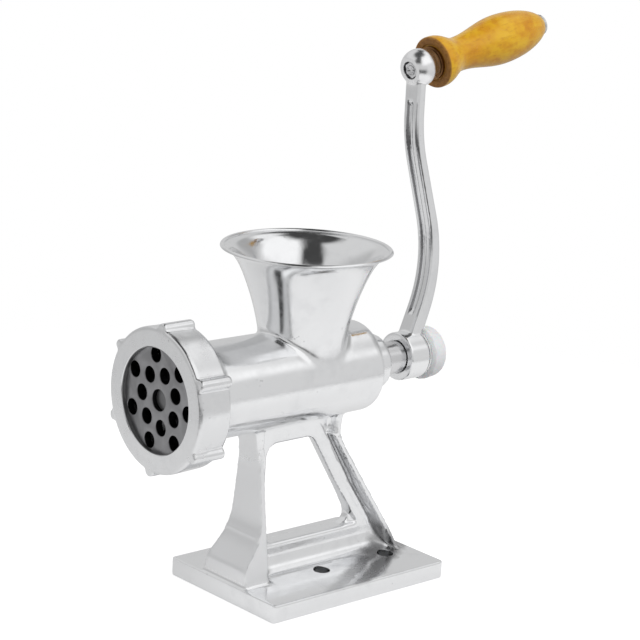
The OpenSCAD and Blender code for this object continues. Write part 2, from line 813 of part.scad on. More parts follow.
// ---- thumb screw ----

module knob_washer() {
    color(steel) on_shaft() difference() {
        rod(-hub_rear - knob_washer_t + face_gap, -hub_rear - face_gap, knob_hub_r);
        rod(-hub_rear - knob_washer_t - cut, -hub_rear + cut, stud_r + 0.3);
    }
}

module thumb_knob() {
    scallop_r = 30;
    color(plastic) on_shaft() difference() {
        rotate_extrude() polygon(concat(
            [[0, -knob_front], [knob_hub_r, -knob_front], [knob_front_r, -knob_front - knob_cone]],
            [for (i = [0:4]) [knob_rear_r - knob_round * (1 - cos(i * 22.5)),
                              -knob_rear + knob_round * (1 - sin(i * 22.5))]],
            [[0, -knob_rear]]));
        for (i = [0:knob_sides - 1])
            rotate([0, 0, i * knob_step])
                translate([scallop_r + knob_front_r * cos(knob_step / 2) + 0.1, 0, 0]) rod(-knob_rear - cut, -knob_front + cut, scallop_r);
        rod(-knob_front - knob_socket, -knob_front + cut, stud_r + 0.02);
    }
}

module knob_stud() {
    color(steel) on_shaft() rod(-knob_front - knob_socket + 0.05, -hub_rear + stud_grip, stud_r);
}

body_casting();
plate_key_pin();
thrust_washer();
hole_plate();
ring_nut();
cross_knife();
knife_drive_pin();
auger_screw();
drive_shaft();
shaft_pin();
crank_arm();
handle_rod();
rod_nut();
rod_lock_washer();
grip_front_washer();
wooden_grip();
grip_end_washer();
grip_end_cap();
knob_washer();
thumb_knob();
knob_stud();
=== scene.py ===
# %% [markdown]
# # A hand-cranked meat grinder
# One aluminium casting carries the barrel, the hopper and the stand. A ring nut holds a drilled steel
# plate on the mouth, and a crank with a turned wooden grip drives the screw inside.
# The working parts come from the frame, in metres and in place. Each cell below dresses one of them.

import math

import bmesh
import bpy
from mathutils import Matrix, Vector


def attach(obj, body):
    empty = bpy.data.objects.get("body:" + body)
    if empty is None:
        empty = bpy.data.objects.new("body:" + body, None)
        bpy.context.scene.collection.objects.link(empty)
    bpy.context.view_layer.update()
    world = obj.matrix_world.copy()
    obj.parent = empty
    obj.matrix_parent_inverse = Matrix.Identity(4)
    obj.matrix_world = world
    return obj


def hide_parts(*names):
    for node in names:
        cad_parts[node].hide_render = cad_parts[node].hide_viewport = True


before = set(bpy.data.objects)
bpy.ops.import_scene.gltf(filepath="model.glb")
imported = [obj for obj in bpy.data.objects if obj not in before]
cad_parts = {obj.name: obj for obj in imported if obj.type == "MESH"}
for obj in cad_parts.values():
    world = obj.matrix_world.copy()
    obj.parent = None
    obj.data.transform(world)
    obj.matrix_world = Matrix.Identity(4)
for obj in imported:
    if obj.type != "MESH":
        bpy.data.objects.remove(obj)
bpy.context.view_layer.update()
scene = bpy.context.scene
mm = 0.001
axis_height = 115  # of the barrel's axis, in mm
print("nodes in the frame:", len(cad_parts))

# %% [markdown]
# ## Camera
# A long lens from a little above, on the outlet's side. The camera is placed by its angle round the
# machine, its height angle, its distance and a small roll, as if its tripod were carried round the
# machine. The frame is square.

# %% Place the camera
view_azimuth = math.radians(47.897)
view_elevation = math.radians(14.270)
view_roll = math.radians(3.179)
view_distance = 1153.27 * mm
view_target = Vector((-0.553, -0.723, 142.582)) * mm


def look_direction(azimuth, elevation):
    """Unit vector to a place at an azimuth from -Y towards +X and a height angle."""
    flat = math.cos(elevation)
    return Vector((math.sin(azimuth) * flat, -math.cos(azimuth) * flat, math.sin(elevation)))


camera = bpy.data.objects.new("tripod_camera", bpy.data.cameras.new("long_lens"))
camera.data.lens = 123.97
camera.data.sensor_width = 36.0
toward = look_direction(view_azimuth, view_elevation)
turn = toward.to_track_quat("Z", "Y").to_matrix().to_4x4() @ Matrix.Rotation(view_roll, 4, "Z")
camera.matrix_world = Matrix.Translation(view_target + toward * view_distance) @ turn
scene.collection.objects.link(camera)
scene.camera = camera
print("camera at", [round(value, 3) for value in camera.matrix_world.translation])

# %% [markdown]
# ## Light
# Polished metal shows what stands around it, so the studio matters more than the lamps. This one is a
# white tent: a bright cloth behind on the right, a softer one on the left, and dark gaps straight
# above, behind, and over the camera. The gaps give the metal its dark bands. The world draws them by
# direction, so they stay where they are when the camera moves.


# %% Small helpers for node trees
def add_node(tree, kind, **values):
    """A new node, with its named settings."""
    node = tree.nodes.new(kind)
    for key, value in values.items():
        setattr(node, key, value)
    return node


def feed(tree, target, value):
    """Joins an output to an input, or sets the input to a plain value."""
    if isinstance(value, bpy.types.NodeSocket):
        tree.links.new(value, target)
    else:
        target.default_value = value


def maths(tree, operation, first, second=0.0, third=0.0):
    """The result of one math node."""
    node = add_node(tree, "ShaderNodeMath", operation=operation)
    for target, value in zip(node.inputs, (first, second, third)):
        feed(tree, target, value)
    return node.outputs[0]


def times(tree, first, *others):
    """The product of two or more values."""
    for other in others:
        first = maths(tree, "MULTIPLY", first, other)
    return first


def plus(tree, first, second):
    """The sum of two values."""
    return maths(tree, "ADD", first, second)


def minus(tree, first, second):
    """The first value less the second."""
    return maths(tree, "SUBTRACT", first, second)


def off_line(tree, value, middle):
    """How far a value lies from a middle, on either side."""
    return maths(tree, "ABSOLUTE", minus(tree, value, middle))


def near_zero(tree, value, reach):
    """A mask that is 1 where a value lies within a reach of 0."""
    return maths(tree, "LESS_THAN", maths(tree, "ABSOLUTE", value), reach)


def blend(tree, share, first, second):
    """A value that goes from first to second as share goes from 0 to 1."""
    node = add_node(tree, "ShaderNodeMix", data_type="FLOAT")
    for index, value in ((0, share), (2, first), (3, second)):
        feed(tree, node.inputs[index], value)
    return node.outputs[0]


def ramp_between(tree, value, low, high, out_low=0.0, out_high=1.0):
    """A smooth step of a value from low to high."""
    node = add_node(tree, "ShaderNodeMapRange", interpolation_type="SMOOTHSTEP")
    for target, given in zip(node.inputs, (value, low, high, out_low, out_high)):
        feed(tree, target, given)
    return node.outputs[0]


def object_place(tree):
    """The shaded point, in metres."""
    return add_node(tree, "ShaderNodeTexCoord").outputs["Object"]


def split_axes(tree, vector):
    """The X, Y and Z of a vector."""
    node = add_node(tree, "ShaderNodeSeparateXYZ")
    tree.links.new(vector, node.inputs[0])
    return node.outputs


def mirror_ray(tree, light_path):
    """A mask that is 1 for what a mirror or a clear body shows."""
    return maths(tree, "MAXIMUM", light_path.outputs["Is Glossy Ray"],
                 light_path.outputs["Is Transmission Ray"])


# %% Draw the white tent with its dark gaps
def tent_patch(tree, azimuth, height, sides, low, high, soft):
    """A mask that is 1 inside a patch of sky: sides and heights in degrees."""
    middle = math.radians(sum(sides) / 2)
    half = math.radians((sides[1] - sides[0]) / 2)
    edge = math.radians(soft)
    away = maths(tree, "ABSOLUTE", maths(tree, "WRAP", minus(tree, azimuth, middle), math.pi, -math.pi))
    across = ramp_between(tree, away, half - edge, half + edge, 1.0, 0.0)
    over = ramp_between(tree, height, math.radians(low - soft), math.radians(low + soft))
    under = ramp_between(tree, height, math.radians(high - soft), math.radians(high + soft), 1.0, 0.0)
    return times(tree, across, over, under)


def white_tent():
    """Draws the tent as the scene's world, and returns the names of its patches."""
    world = bpy.data.worlds.new("white_tent")
    scene.world = world
    world.use_nodes = True
    tree = world.node_tree
    tree.nodes.clear()
    east, north, above = split_axes(tree, add_node(tree, "ShaderNodeTexCoord").outputs["Generated"])
    azimuth = maths(tree, "ARCTAN2", east, times(tree, north, -1.0))
    height = maths(tree, "ARCSINE", above)
    patches = [
        # (name, sides, low, high, brightness, softness)
        ("foot of the left cloth", (262, 340), -8, 26, 0.72, 8),
        ("left cloth", (240, 368), 28, 61, 0.98, 7),
        ("back cloth", (118, 200), 42, 68, 1.30, 5),
        ("back gap", (158, 202), 14, 42, 0.58, 8),
        ("gap behind", (209, 239), 44, 90, 0.08, 4),
        ("right cloth", (64, 146), 20, 71, 1.45, 8),
        ("foot of the right cloth", (98, 150), -12, 24, 0.98, 7),
        ("gap over the camera", (11, 57), 29, 92, 0.08, 5),
        ("dark room under the camera", (-32, 96), -92, -9, 0.09, 7),
    ]
    # The tent's own wall is pale at the sides and turns dark between 56 and 66 degrees up.
    shade = ramp_between(tree, height, math.radians(56), math.radians(66), 0.88, 0.08)
    for _, sides, low, high, brightness, soft in patches:
        shade = blend(tree, tent_patch(tree, azimuth, height, sides, low, high, soft), shade, brightness)
    # Mirrors see the tent, a little darker in the second mirror. Dull surfaces get an even light, and
    # the camera sees plain white.
    even_light = 0.45
    second_mirror = 0.7
    light_path = add_node(tree, "ShaderNodeLightPath")
    deep = maths(tree, "GREATER_THAN", light_path.outputs["Ray Depth"], 1.5)
    dulled = times(tree, shade, maths(tree, "MULTIPLY_ADD", deep, second_mirror - 1.0, 1.0))
    lit = blend(tree, mirror_ray(tree, light_path), even_light, dulled)
    seen = blend(tree, light_path.outputs["Is Camera Ray"], lit, 1.0)
    background = add_node(tree, "ShaderNodeBackground")
    background.inputs["Color"].default_value = (1, 1, 1, 1)
    feed(tree, background.inputs["Strength"], seen)
    output = add_node(tree, "ShaderNodeOutputWorld")
    tree.links.new(background.outputs[0], output.inputs["Surface"])
    return [patch[0] for patch in patches]


scene.view_settings.view_transform = "Standard"
print("patches in the tent:", white_tent())


# %% [markdown]
# ## Lamps and floor
# Two wide soft lamps shape the wood and the plastic, which don't mirror the tent. Mirrors don't see the
# lamps, because the tent's cloths already stand for them. The floor is pale and catches the shadow.
# For the camera and for mirrors it also glows a little, so that it runs into the white around it.


# %% Hang the lamps
def soft_lamp(name, azimuth, elevation, distance, size, watts):
    """A square area lamp that points at the middle of the machine."""
    lamp = bpy.data.objects.new(name, bpy.data.lights.new(name, "AREA"))
    lamp.data.size = size
    lamp.data.energy = watts
    away = look_direction(math.radians(azimuth), math.radians(elevation))
    facing = away.to_track_quat("Z", "Y").to_matrix().to_4x4()
    lamp.matrix_world = Matrix.Translation(view_target + away * distance) @ facing
    lamp.visible_glossy = False
    scene.collection.objects.link(lamp)
    return lamp


lamps = [
    soft_lamp("right_softbox", 108, 44, 1.1, 0.8, 6.5),
    soft_lamp("left_softbox", 300, 40, 1.3, 0.9, 4.5),
]
print("lamps:", [lamp.name for lamp in lamps])


# %% Lay the floor
floor_level = -0.2


def flat_disc(name, radius, height):
    """A round sheet at a height, both in metres."""
    bm = bmesh.new()
    bmesh.ops.create_circle(bm, cap_ends=True, segments=96, radius=radius,
                            matrix=Matrix.Translation((0, 0, height)))
    return add_piece(bm, name)


def add_piece(bm, name):
    """Turns a bmesh into a linked object of that name."""
    mesh = bpy.data.meshes.new(name)
    bm.to_mesh(mesh)
    bm.free()
    piece = bpy.data.objects.new(name, mesh)
    scene.collection.objects.link(piece)
    return piece


def floor_paper():
    """Pale paper that glows for the camera and for mirrors, and fades out far from the machine."""
    material = bpy.data.materials.new("floor_paper")
    material.use_nodes = True
    tree = material.node_tree
    tree.nodes.clear()
    light_path = add_node(tree, "ShaderNodeLightPath")
    camera_ray = light_path.outputs["Is Camera Ray"]
    seen = maths(tree, "MAXIMUM", camera_ray, mirror_ray(tree, light_path))
    paper = add_node(tree, "ShaderNodeBsdfDiffuse")
    paper.inputs["Color"].default_value = (0.50, 0.50, 0.50, 1)
    axes = split_axes(tree, object_place(tree))
    under_base = times(tree, near_zero(tree, axes["Y"], 57 * mm), near_zero(tree, axes["X"], 40 * mm))
    level = ramp_between(tree, axes["X"], -70 * mm, 60 * mm, 0.30, 0.42)
    for_camera = maths(tree, "MULTIPLY_ADD", camera_ray, 0.42, times(tree, seen, level))
    glow = add_node(tree, "ShaderNodeEmission")
    feed(tree, glow.inputs["Strength"], times(tree, for_camera, minus(tree, 1.0, under_base)))
    both = add_node(tree, "ShaderNodeAddShader")
    tree.links.new(paper.outputs[0], both.inputs[0])
    tree.links.new(glow.outputs[0], both.inputs[1])
    distance = add_node(tree, "ShaderNodeVectorMath", operation="LENGTH")
    tree.links.new(object_place(tree), distance.inputs[0])
    faded = add_node(tree, "ShaderNodeMixShader")
    feed(tree, faded.inputs[0], ramp_between(tree, distance.outputs["Value"], 0.30, 0.55))
    tree.links.new(both.outputs[0], faded.inputs[1])
    tree.links.new(add_node(tree, "ShaderNodeBsdfTransparent").outputs[0], faded.inputs[2])
    output = add_node(tree, "ShaderNodeOutputMaterial")
    tree.links.new(faded.outputs[0], output.inputs["Surface"])
    return material


floor = flat_disc("floor", 0.6, floor_level * mm)
floor.data.materials.append(floor_paper())
print("floor laid at", floor_level, "mm")

# %% [markdown]
# ## Shared surface effects
# Three node groups give every finish its small marks, so that each material only sets its own amounts.
# `casting_skin` is the soft unevenness that a tumbled casting keeps. `turning_rings` are the rings that
# a lathe tool leaves round an axis. `shop_dirt` is a mask of specks and smudges. Each of them puts out
# plain values, and the shader that uses them stays in the material.


# %% Node group: casting_skin
def start_group(name, inputs, outputs):
    """A node group with float inputs {name: default} and float outputs, and its two end nodes."""
    group = bpy.data.node_groups.new(name, "ShaderNodeTree")
    for socket_name, default in inputs.items():
        socket = group.interface.new_socket(socket_name, in_out="INPUT", socket_type="NodeSocketFloat")
        socket.default_value = default
    for socket_name in outputs:
        group.interface.new_socket(socket_name, in_out="OUTPUT", socket_type="NodeSocketFloat")
    given = add_node(group, "NodeGroupInput").outputs
    result = add_node(group, "NodeGroupOutput").inputs
    return group, given, result


def noise(tree, vector, scale, detail=2.0, roughness=0.5, dimensions="3D"):
    """A noise texture's value. In one dimension the vector is a plain value."""
    node = add_node(tree, "ShaderNodeTexNoise", noise_dimensions=dimensions)
    feed(tree, node.inputs["W" if dimensions == "1D" else "Vector"], vector)
    feed(tree, node.inputs["Scale"], scale)
    node.inputs["Detail"].default_value = detail
    node.inputs["Roughness"].default_value = roughness
    return node.outputs[0]


def casting_skin_group():
    """Fine grain on soft waves, with worn and less worn places."""
    group, given, result = start_group(
        "casting_skin",
        {"Grain Scale": 900.0, "Wave Scale": 70.0, "Wave Share": 0.6, "Rough Low": 0.1, "Rough High": 0.3},
        ["Roughness", "Height"])
    place = object_place(group)
    grain = noise(group, place, given["Grain Scale"], 3.0, 0.6)
    wave = noise(group, place, given["Wave Scale"], 2.0, 0.45)
    worn = noise(group, place, times(group, given["Wave Scale"], 1.7), 5.0, 0.65)
    share = ramp_between(group, worn, 0.36, 0.66)
    spread = minus(group, given["Rough High"], given["Rough Low"])
    waves = times(group, wave, given["Wave Share"])
    height = maths(group, "MULTIPLY_ADD", grain, minus(group, 1.0, given["Wave Share"]), waves)
    feed(group, result["Roughness"], maths(group, "MULTIPLY_ADD", share, spread, given["Rough Low"]))
    feed(group, result["Height"], height)
    return group


casting_skin = casting_skin_group()
print("group:", casting_skin.name, "with", len(casting_skin.nodes), "nodes")


# %% Node group: turning_rings
def barrel_distance(tree):
    """Distance of the shaded point from the barrel's axis, in metres."""
    axes = split_axes(tree, object_place(tree))
    over = minus(tree, axes["Z"], axis_height * mm)
    return maths(tree, "SQRT", plus(tree, times(tree, over, over), times(tree, axes["X"], axes["X"])))


def turning_rings_group():
    """Fine and broad rings round the barrel's axis."""
    group, given, result = start_group(
        "turning_rings", {"Rings": 1800.0, "Rough Low": 0.15, "Rough High": 0.35}, ["Roughness", "Height"])
    along = split_axes(group, object_place(group))["Y"]
    station = plus(group, barrel_distance(group), times(group, along, 1.37))
    fine = noise(group, station, given["Rings"], 2.0, 0.7, "1D")
    broad = noise(group, station, times(group, given["Rings"], 0.23), 2.0, 0.6, "1D")
    both = maths(group, "MULTIPLY_ADD", broad, 0.5, times(group, fine, 0.5))
    spread = minus(group, given["Rough High"], given["Rough Low"])
    feed(group, result["Roughness"], maths(group, "MULTIPLY_ADD", both, spread, given["Rough Low"]))
    feed(group, result["Height"], both)
    return group


turning_rings = turning_rings_group()
print("group:", turning_rings.name, "with", len(turning_rings.nodes), "nodes")


# %% Node group: shop_dirt
def shop_dirt_group():
    """Small specks here and there, and soft smudges."""
    group, given, result = start_group(
        "shop_dirt", {"Speck Scale": 420.0, "Speck Share": 0.1, "Smudge Scale": 45.0}, ["Specks", "Smudge"])
    place = object_place(group)
    cells = add_node(group, "ShaderNodeTexVoronoi", feature="F1")
    feed(group, cells.inputs["Vector"], place)
    feed(group, cells.inputs["Scale"], given["Speck Scale"])
    few = noise(group, place, times(group, given["Speck Scale"], 0.35))
    size = times(group, minus(group, few, 0.5), given["Speck Share"])
    near = minus(group, size, times(group, cells.outputs["Distance"], 0.1))
    feed(group, result["Specks"], ramp_between(group, near, 0.0, 0.004))
    smudge = noise(group, place, given["Smudge Scale"], 6.0, 0.7)
    feed(group, result["Smudge"], ramp_between(group, smudge, 0.5, 0.72))
    return group


shop_dirt = shop_dirt_group()
print("group:", shop_dirt.name, "with", len(shop_dirt.nodes), "nodes")

# %% [markdown]
# ## Metals
# Aluminium is cast, tumbled bright and left bare: it mirrors the tent softly. Faces that a machine
# touched last are duller. A metal's colour is its reflection, so Base Color is nearly white for
# aluminium and greyer for steel, and the dirt darkens it a little.


# %% Helpers that start a material
def place_group(tree, group, **values):
    """A shader node group in a material, with its inputs set by name (underscores for spaces)."""
    node = add_node(tree, "ShaderNodeGroup")
    node.node_tree = group
    for key, value in values.items():
        node.inputs[key.replace("_", " ")].default_value = value
    return node.outputs


def start_material(name, color, metallic, roughness=0.3):
    """A new material with its tree and its shader."""
    material = bpy.data.materials.new(name)
    material.use_nodes = True
    material.diffuse_color = (*color, 1.0)
    shader = material.node_tree.nodes["Principled BSDF"]
    shader.inputs["Base Color"].default_value = (*color, 1.0)
    shader.inputs["Metallic"].default_value = metallic
    shader.inputs["Roughness"].default_value = roughness
    return material, material.node_tree, shader


def mix_color(tree, share, first, second):
    """A colour that goes from first to second as share goes from 0 to 1."""
    node = add_node(tree, "ShaderNodeMix", data_type="RGBA")
    feed(tree, node.inputs["Factor"], share)
    for target, value in zip((node.inputs[6], node.inputs[7]), (first, second)):
        feed(tree, target, value if isinstance(value, bpy.types.NodeSocket) else (*value, 1.0))
    return node.outputs[2]


def add_bump(tree, shader, height, depth):
    """Feeds the shader a normal from a height of 0 to 1 that stands for a depth in mm."""
    bump = add_node(tree, "ShaderNodeBump")
    bump.inputs["Distance"].default_value = depth * mm
    bump.inputs["Strength"].default_value = 1.0
    tree.links.new(height, bump.inputs["Height"])
    tree.links.new(bump.outputs[0], shader.inputs["Normal"])


def finish_shader(tree, shader, color, marks, depth):
    """Joins a shader to its colour and to a group's roughness and height."""
    tree.links.new(color, shader.inputs["Base Color"])
    tree.links.new(marks["Roughness"], shader.inputs["Roughness"])
    add_bump(tree, shader, marks["Height"], depth)


def cover(tree, share, color, roughness):
    """Lays another finish over a material's colour and roughness, where share is 1."""
    shader = tree.nodes["Principled BSDF"]
    target = shader.inputs["Base Color"]
    tree.links.new(mix_color(tree, share, target.links[0].from_socket, color), target)
    target = shader.inputs["Roughness"]
    tree.links.new(blend(tree, share, target.links[0].from_socket, roughness), target)


def ragged(tree, place, scale, depth):
    """A wandering offset that makes the edge of a patch uneven."""
    return times(tree, minus(tree, noise(tree, place, scale, 3.0), 0.5), depth)


# %% Aluminium and steel
def cast_metal(name, color, dull, rough, depth):
    """A bare casting: rough is its (low, high) roughness, depth how uneven its skin is, in mm."""
    material, tree, shader = start_material(name, color, 1.0)
    marks = place_group(tree, casting_skin, Rough_Low=rough[0], Rough_High=rough[1])
    dirt_and_painted_shade = place_group(tree, shop_dirt)
    smudged = mix_color(tree, times(tree, dirt_and_painted_shade["Smudge"], 0.5), color, dull)
    dark = tuple(value * 0.5 for value in dull)
    specked = mix_color(tree, times(tree, dirt_and_painted_shade["Specks"], 0.4), smudged, dark)
    finish_shader(tree, shader, specked, marks, depth)
    return material


def turned_metal(name, color, rough, depth):
    """A machined face or journal with rings round the barrel's axis, depth in mm."""
    material, tree, shader = start_material(name, color, 1.0)
    marks = place_group(tree, turning_rings, Rough_Low=rough[0], Rough_High=rough[1])
    dirt_and_painted_shade = place_group(tree, shop_dirt)
    dull = tuple(value * 0.8 for value in color)
    smudged = mix_color(tree, times(tree, dirt_and_painted_shade["Smudge"], 0.6), color, dull)
    finish_shader(tree, shader, smudged, marks, depth)
    return material


aluminium_white = (0.90, 0.905, 0.915)
aluminium_dull = (0.78, 0.785, 0.80)
cast_finishes = {
    # name: (colour, colour of its smudges, roughness, depth)
    "bright_casting": (aluminium_white, aluminium_dull, (0.09, 0.22), 0.02),
    "ring_casting": ((0.86, 0.865, 0.875), aluminium_dull, (0.14, 0.28), 0.015),
    "crank_casting": (aluminium_white, aluminium_dull, (0.10, 0.20), 0.008),
}
turned_finishes = {
    # name: (colour, roughness, depth)
    "turned_steel": ((0.74, 0.74, 0.75), (0.14, 0.34), 0.01),
    "greasy_steel": ((0.07, 0.07, 0.075), (0.45, 0.60), 0.01),
    # The next finish's brown is painted shade: on the front washer it stands for the shadow between the ball
    # and the grip's collar.
    "painted_shade_steel": ((0.30, 0.16, 0.07), (0.30, 0.50), 0.01),
    "worn_steel": ((0.22, 0.22, 0.225), (0.30, 0.50), 0.01),
    "plated_steel": ((0.80, 0.80, 0.80), (0.12, 0.26), 0.005),
}
materials = {name: cast_metal(name, *finish) for name, finish in cast_finishes.items()}
materials.update({name: turned_metal(name, *finish) for name, finish in turned_finishes.items()})
materials["fibre"] = start_material("fibre", (0.25, 0.07, 0.04), 0.0, 0.7)[0]
print("finishes:", sorted(materials))

# %% [markdown]
# ### Painted shade and reflection on the body, and a satin flange
# Beside the rear bolt hole the base gets a dull grey patch, a painted reflection of the rear leg. The
# front flange stayed satin, and the rear corner of the web gets a painted dark line of shade. Inside the
# mouth and the ring the metal is darker. Masks in the body's own room lay these finishes over the bright one.


# %% Lay the patches
rear_slope = 0.6227


def paint_rear_leg_reflection():
    """A dull grey patch beside the rear bolt hole: a painted reflection of the rear leg on the base."""
    tree = materials["bright_casting"].node_tree
    place = object_place(tree)
    axes = split_axes(tree, place)
    slant = plus(tree, times(tree, axes["X"], 0.875), times(tree, axes["Y"], 0.484))
    across = off_line(tree, plus(tree, slant, ragged(tree, place, 160.0, 6 * mm)), 32.6 * mm)
    band = ramp_between(tree, across, 6.0 * mm, 11.0 * mm, 1.0, 0.0)
    streak = ramp_between(tree, across, 0.5 * mm, 2.2 * mm, 0.35, 1.0)
    low = ramp_between(tree, axes["Z"], 22 * mm, 31 * mm, 1.0, 0.0)
    on_top = ramp_between(tree, axes["Z"], 9.2 * mm, 9.8 * mm)
    behind = ramp_between(tree, axes["Y"], -16 * mm, 8 * mm, 0.4, 1.0)
    near_side = ramp_between(tree, axes["X"], -2 * mm, 2 * mm)
    share = times(tree, band, streak, low, on_top, behind, near_side, 0.85)
    # Painted reflection of the rear leg's dark side, laid over the base's top.
    cover(tree, share, (0.40, 0.40, 0.405), 0.30)


def satin_flange_and_painted_corner_shade():
    """The front flange kept a satin skin, and a painted dark line of shade runs in the rear corner of the
    web.
    """
    tree = materials["bright_casting"].node_tree
    place = object_place(tree)
    axes = split_axes(tree, place)
    low = ramp_between(tree, axes["Z"], 62 * mm, 84 * mm, 1.0, 0.0)
    over_base = ramp_between(tree, axes["Z"], 10.5 * mm, 14 * mm)
    ahead = ramp_between(tree, axes["Y"], -42.5 * mm, -41.0 * mm, 1.0, 0.0)
    cover(tree, times(tree, low, over_base, ahead), aluminium_white, 0.42)
    # A painted line of shade in the concave corner where the web meets the leaning rear flange.
    lean = plus(tree, axes["Y"], times(tree, axes["Z"], rear_slope))
    corner = off_line(tree, plus(tree, lean, ragged(tree, place, 140.0, 4 * mm)), 54.6 * mm)
    line = ramp_between(tree, corner, 0.1 * mm, 0.9 * mm, 0.6, 0.0)
    on_web = near_zero(tree, axes["X"], 8 * mm)
    over_foot = ramp_between(tree, axes["Z"], 14 * mm, 20 * mm)
    under_top = ramp_between(tree, axes["Z"], 84 * mm, 88 * mm, 1.0, 0.0)
    cover(tree, times(tree, line, on_web, over_foot, under_top), (0.30, 0.30, 0.31), 0.35)


def darken_mouth():
    """The ring and the mouth are dark inside."""
    for name, reach in (("ring_casting", 27.4), ("bright_casting", 22.0)):
        tree = materials[name].node_tree
        inside = ramp_between(tree, barrel_distance(tree), (reach - 0.3) * mm, reach * mm, 1.0, 0.0)
        front = maths(tree, "LESS_THAN", split_axes(tree, object_place(tree))["Y"], -60 * mm)
        cover(tree, times(tree, inside, front), (0.26, 0.26, 0.265), 0.55)


for lay in (paint_rear_leg_reflection, satin_flange_and_painted_corner_shade, darken_mouth):
    lay()
    print("laid:", lay.__name__)


# %% [markdown]
# ## Dress the nodes that keep their own shape
# Small turned parts are right as they come from the frame. They only need a finish.


# %% Give the plain nodes their finish
plain_nodes = {
    "turned_steel": ("drive_shaft", "shaft_pin", "knob_stud"),
    "plated_steel": ("grip_end_washer", "grip_end_cap", "knob_washer"),
    "greasy_steel": ("auger_screw", "cross_knife", "plate_key_pin"),
    "worn_steel": ("knife_drive_pin", "rod_lock_washer"),
    # The front washer's brown finish is painted shade between the ball and the collar.
    "painted_shade_steel": ("grip_front_washer",),
    "fibre": ("thrust_washer",),
}
for finish, nodes in plain_nodes.items():
    for node in nodes:
        node_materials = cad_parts[node].data.materials
        node_materials.clear()
        node_materials.append(materials[finish])
    print(finish, "on", *nodes)

# %% [markdown]
# ## The body casting
# The real body is poured in one piece, so every corner where two forms meet is filled by a soft fillet,
# and every outer edge is rounded by tumbling. Bevels on a boolean's ragged seam would tear. So the
# frame's own solid is filled, grown into one even skin of small faces, and relaxed until its edges and
# corners are round. Then the parts a lathe would cut are cut or added again with true round profiles:
# the bore, the mouth with its thread, and the thin bell of the hopper.


# %% Helpers: lathe, fill, grow, relax
barrel_frame = Matrix.Translation((0, 0, axis_height * mm)) @ Matrix.Rotation(math.pi / 2, 4, "X")


def upright(x, y):
    """The place of an upright axis, in mm."""
    return Matrix.Translation((x * mm, y * mm, 0))


def lathe(profile, steps, stand, closed=True):
    """Spins (radius, height) points in mm round the Z axis of a stand, and sets them up there."""
    bm = bmesh.new()
    points = [bm.verts.new((radius * mm, 0, height * mm)) for radius, height in profile]
    edges = [bm.edges.new(pair) for pair in zip(points, points[1:])]
    if closed and profile[0][0] > 0 and profile[-1][0] > 0:
        edges.append(bm.edges.new((points[-1], points[0])))
    bmesh.ops.spin(bm, geom=points + edges, cent=(0, 0, 0), axis=(0, 0, 1), angle=math.tau,
                   steps=steps, use_merge=True, use_duplicate=False)
    bmesh.ops.remove_doubles(bm, verts=bm.verts, dist=0.0005 * mm)
    if closed:
        bmesh.ops.recalc_face_normals(bm, faces=bm.faces)
    bmesh.ops.transform(bm, matrix=stand, verts=bm.verts)
    return bm


def cylinder(radius, low, high, steps, stand):
    """A closed round bar along the stand's Z, sizes in mm."""
    return lathe([(0, low), (radius, low), (radius, high), (0, high)], steps, stand)


def merge_into(bm, *others):
    """Adds other bmeshes to this one and frees them."""
    for other in others:
        mesh = bpy.data.meshes.new("passing")
        other.to_mesh(mesh)
        other.free()
        bm.from_mesh(mesh)
        bpy.data.meshes.remove(mesh)
    return bm


def node_copy(node):
    """A merged copy of a frame node's solid."""
    bm = bmesh.new()
    bm.from_mesh(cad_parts[node].data)
    bmesh.ops.remove_doubles(bm, verts=bm.verts, dist=0.001 * mm)
    return bm


def with_modifiers(bm, *settings):
    """The bmesh after a row of modifiers: each is (kind, {setting: value})."""
    piece = add_piece(bm, "passing")
    for kind, values in settings:
        modifier = piece.modifiers.new(kind.lower(), kind)
        for key, value in values.items():
            setattr(modifier, key, value)
    result = bmesh.new()
    graph = bpy.context.evaluated_depsgraph_get()
    result.from_mesh(piece.evaluated_get(graph).to_mesh())
    mesh = piece.data
    bpy.data.objects.remove(piece)
    bpy.data.meshes.remove(mesh)
    return result


def grow_skin(bm, voxel):
    """One closed skin of even faces round everything in the bmesh."""
    return with_modifiers(bm, ("REMESH", {"mode": "VOXEL", "voxel_size": voxel}))


def relax(bm, verts, rounds):
    """Moves each vertex halfway to the middle of its neighbours, some rounds long."""
    for _ in range(rounds):
        bmesh.ops.smooth_vert(bm, verts=verts, factor=0.5, use_axis_x=True, use_axis_y=True,
                              use_axis_z=True)


def cut_out(bm, *tools):
    """Takes closed solids away, one after the other."""
    for tool in tools:
        knife = add_piece(tool, "knife")
        bm = with_modifiers(bm, ("BOOLEAN", {"operation": "DIFFERENCE", "object": knife, "solver": "EXACT"}))
        mesh = knife.data
        bpy.data.objects.remove(knife)
        bpy.data.meshes.remove(mesh)
    return bm


def smooth_step(value, low, high):
    """0 below low, 1 above high, and a soft step between."""
    share = min(1.0, max(0.0, (value - low) / (high - low)))
    return share * share * (3 - 2 * share)


# %% Sizes of the casting, in mm
# The barrel, its bore and the bearing boss behind it. Lengths run from the middle of the base.
barrel_radius = 25.3
barrel_rear_radius = 24.4
barrel_rear = 26.1
barrel_taper_front = 81.2
bore_radius = 21.4
bore_rear = 21.6
shaft_bore_radius = 8.86
boss_end = 39.5
# The hopper and the threaded mouth.
hopper_ahead = 13.1
hopper_low = 130.23
hopper_top = 183.7
neck_radius = 22.6
hopper_wall = 2.4
mouth_radius = 33.56
mouth_end = 104.2
thread_depth = 0.8
# The base, the web and the tops of what stands on it.
base_top = 10
flange_top = 87.7
sill_top = 26.2
# The front flange: upright faces, then a long curve from curve_top to curve_end, then a slope to the toe.
front_face = 42.0
front_outer = 45.2
front_foot = 36
flare_top = 35
flare_end = 19.5
flare_depth = 13.0
flare_slope = 0.8387
curve_top = 45.9
curve_end = 26.65
curve_radius = 30
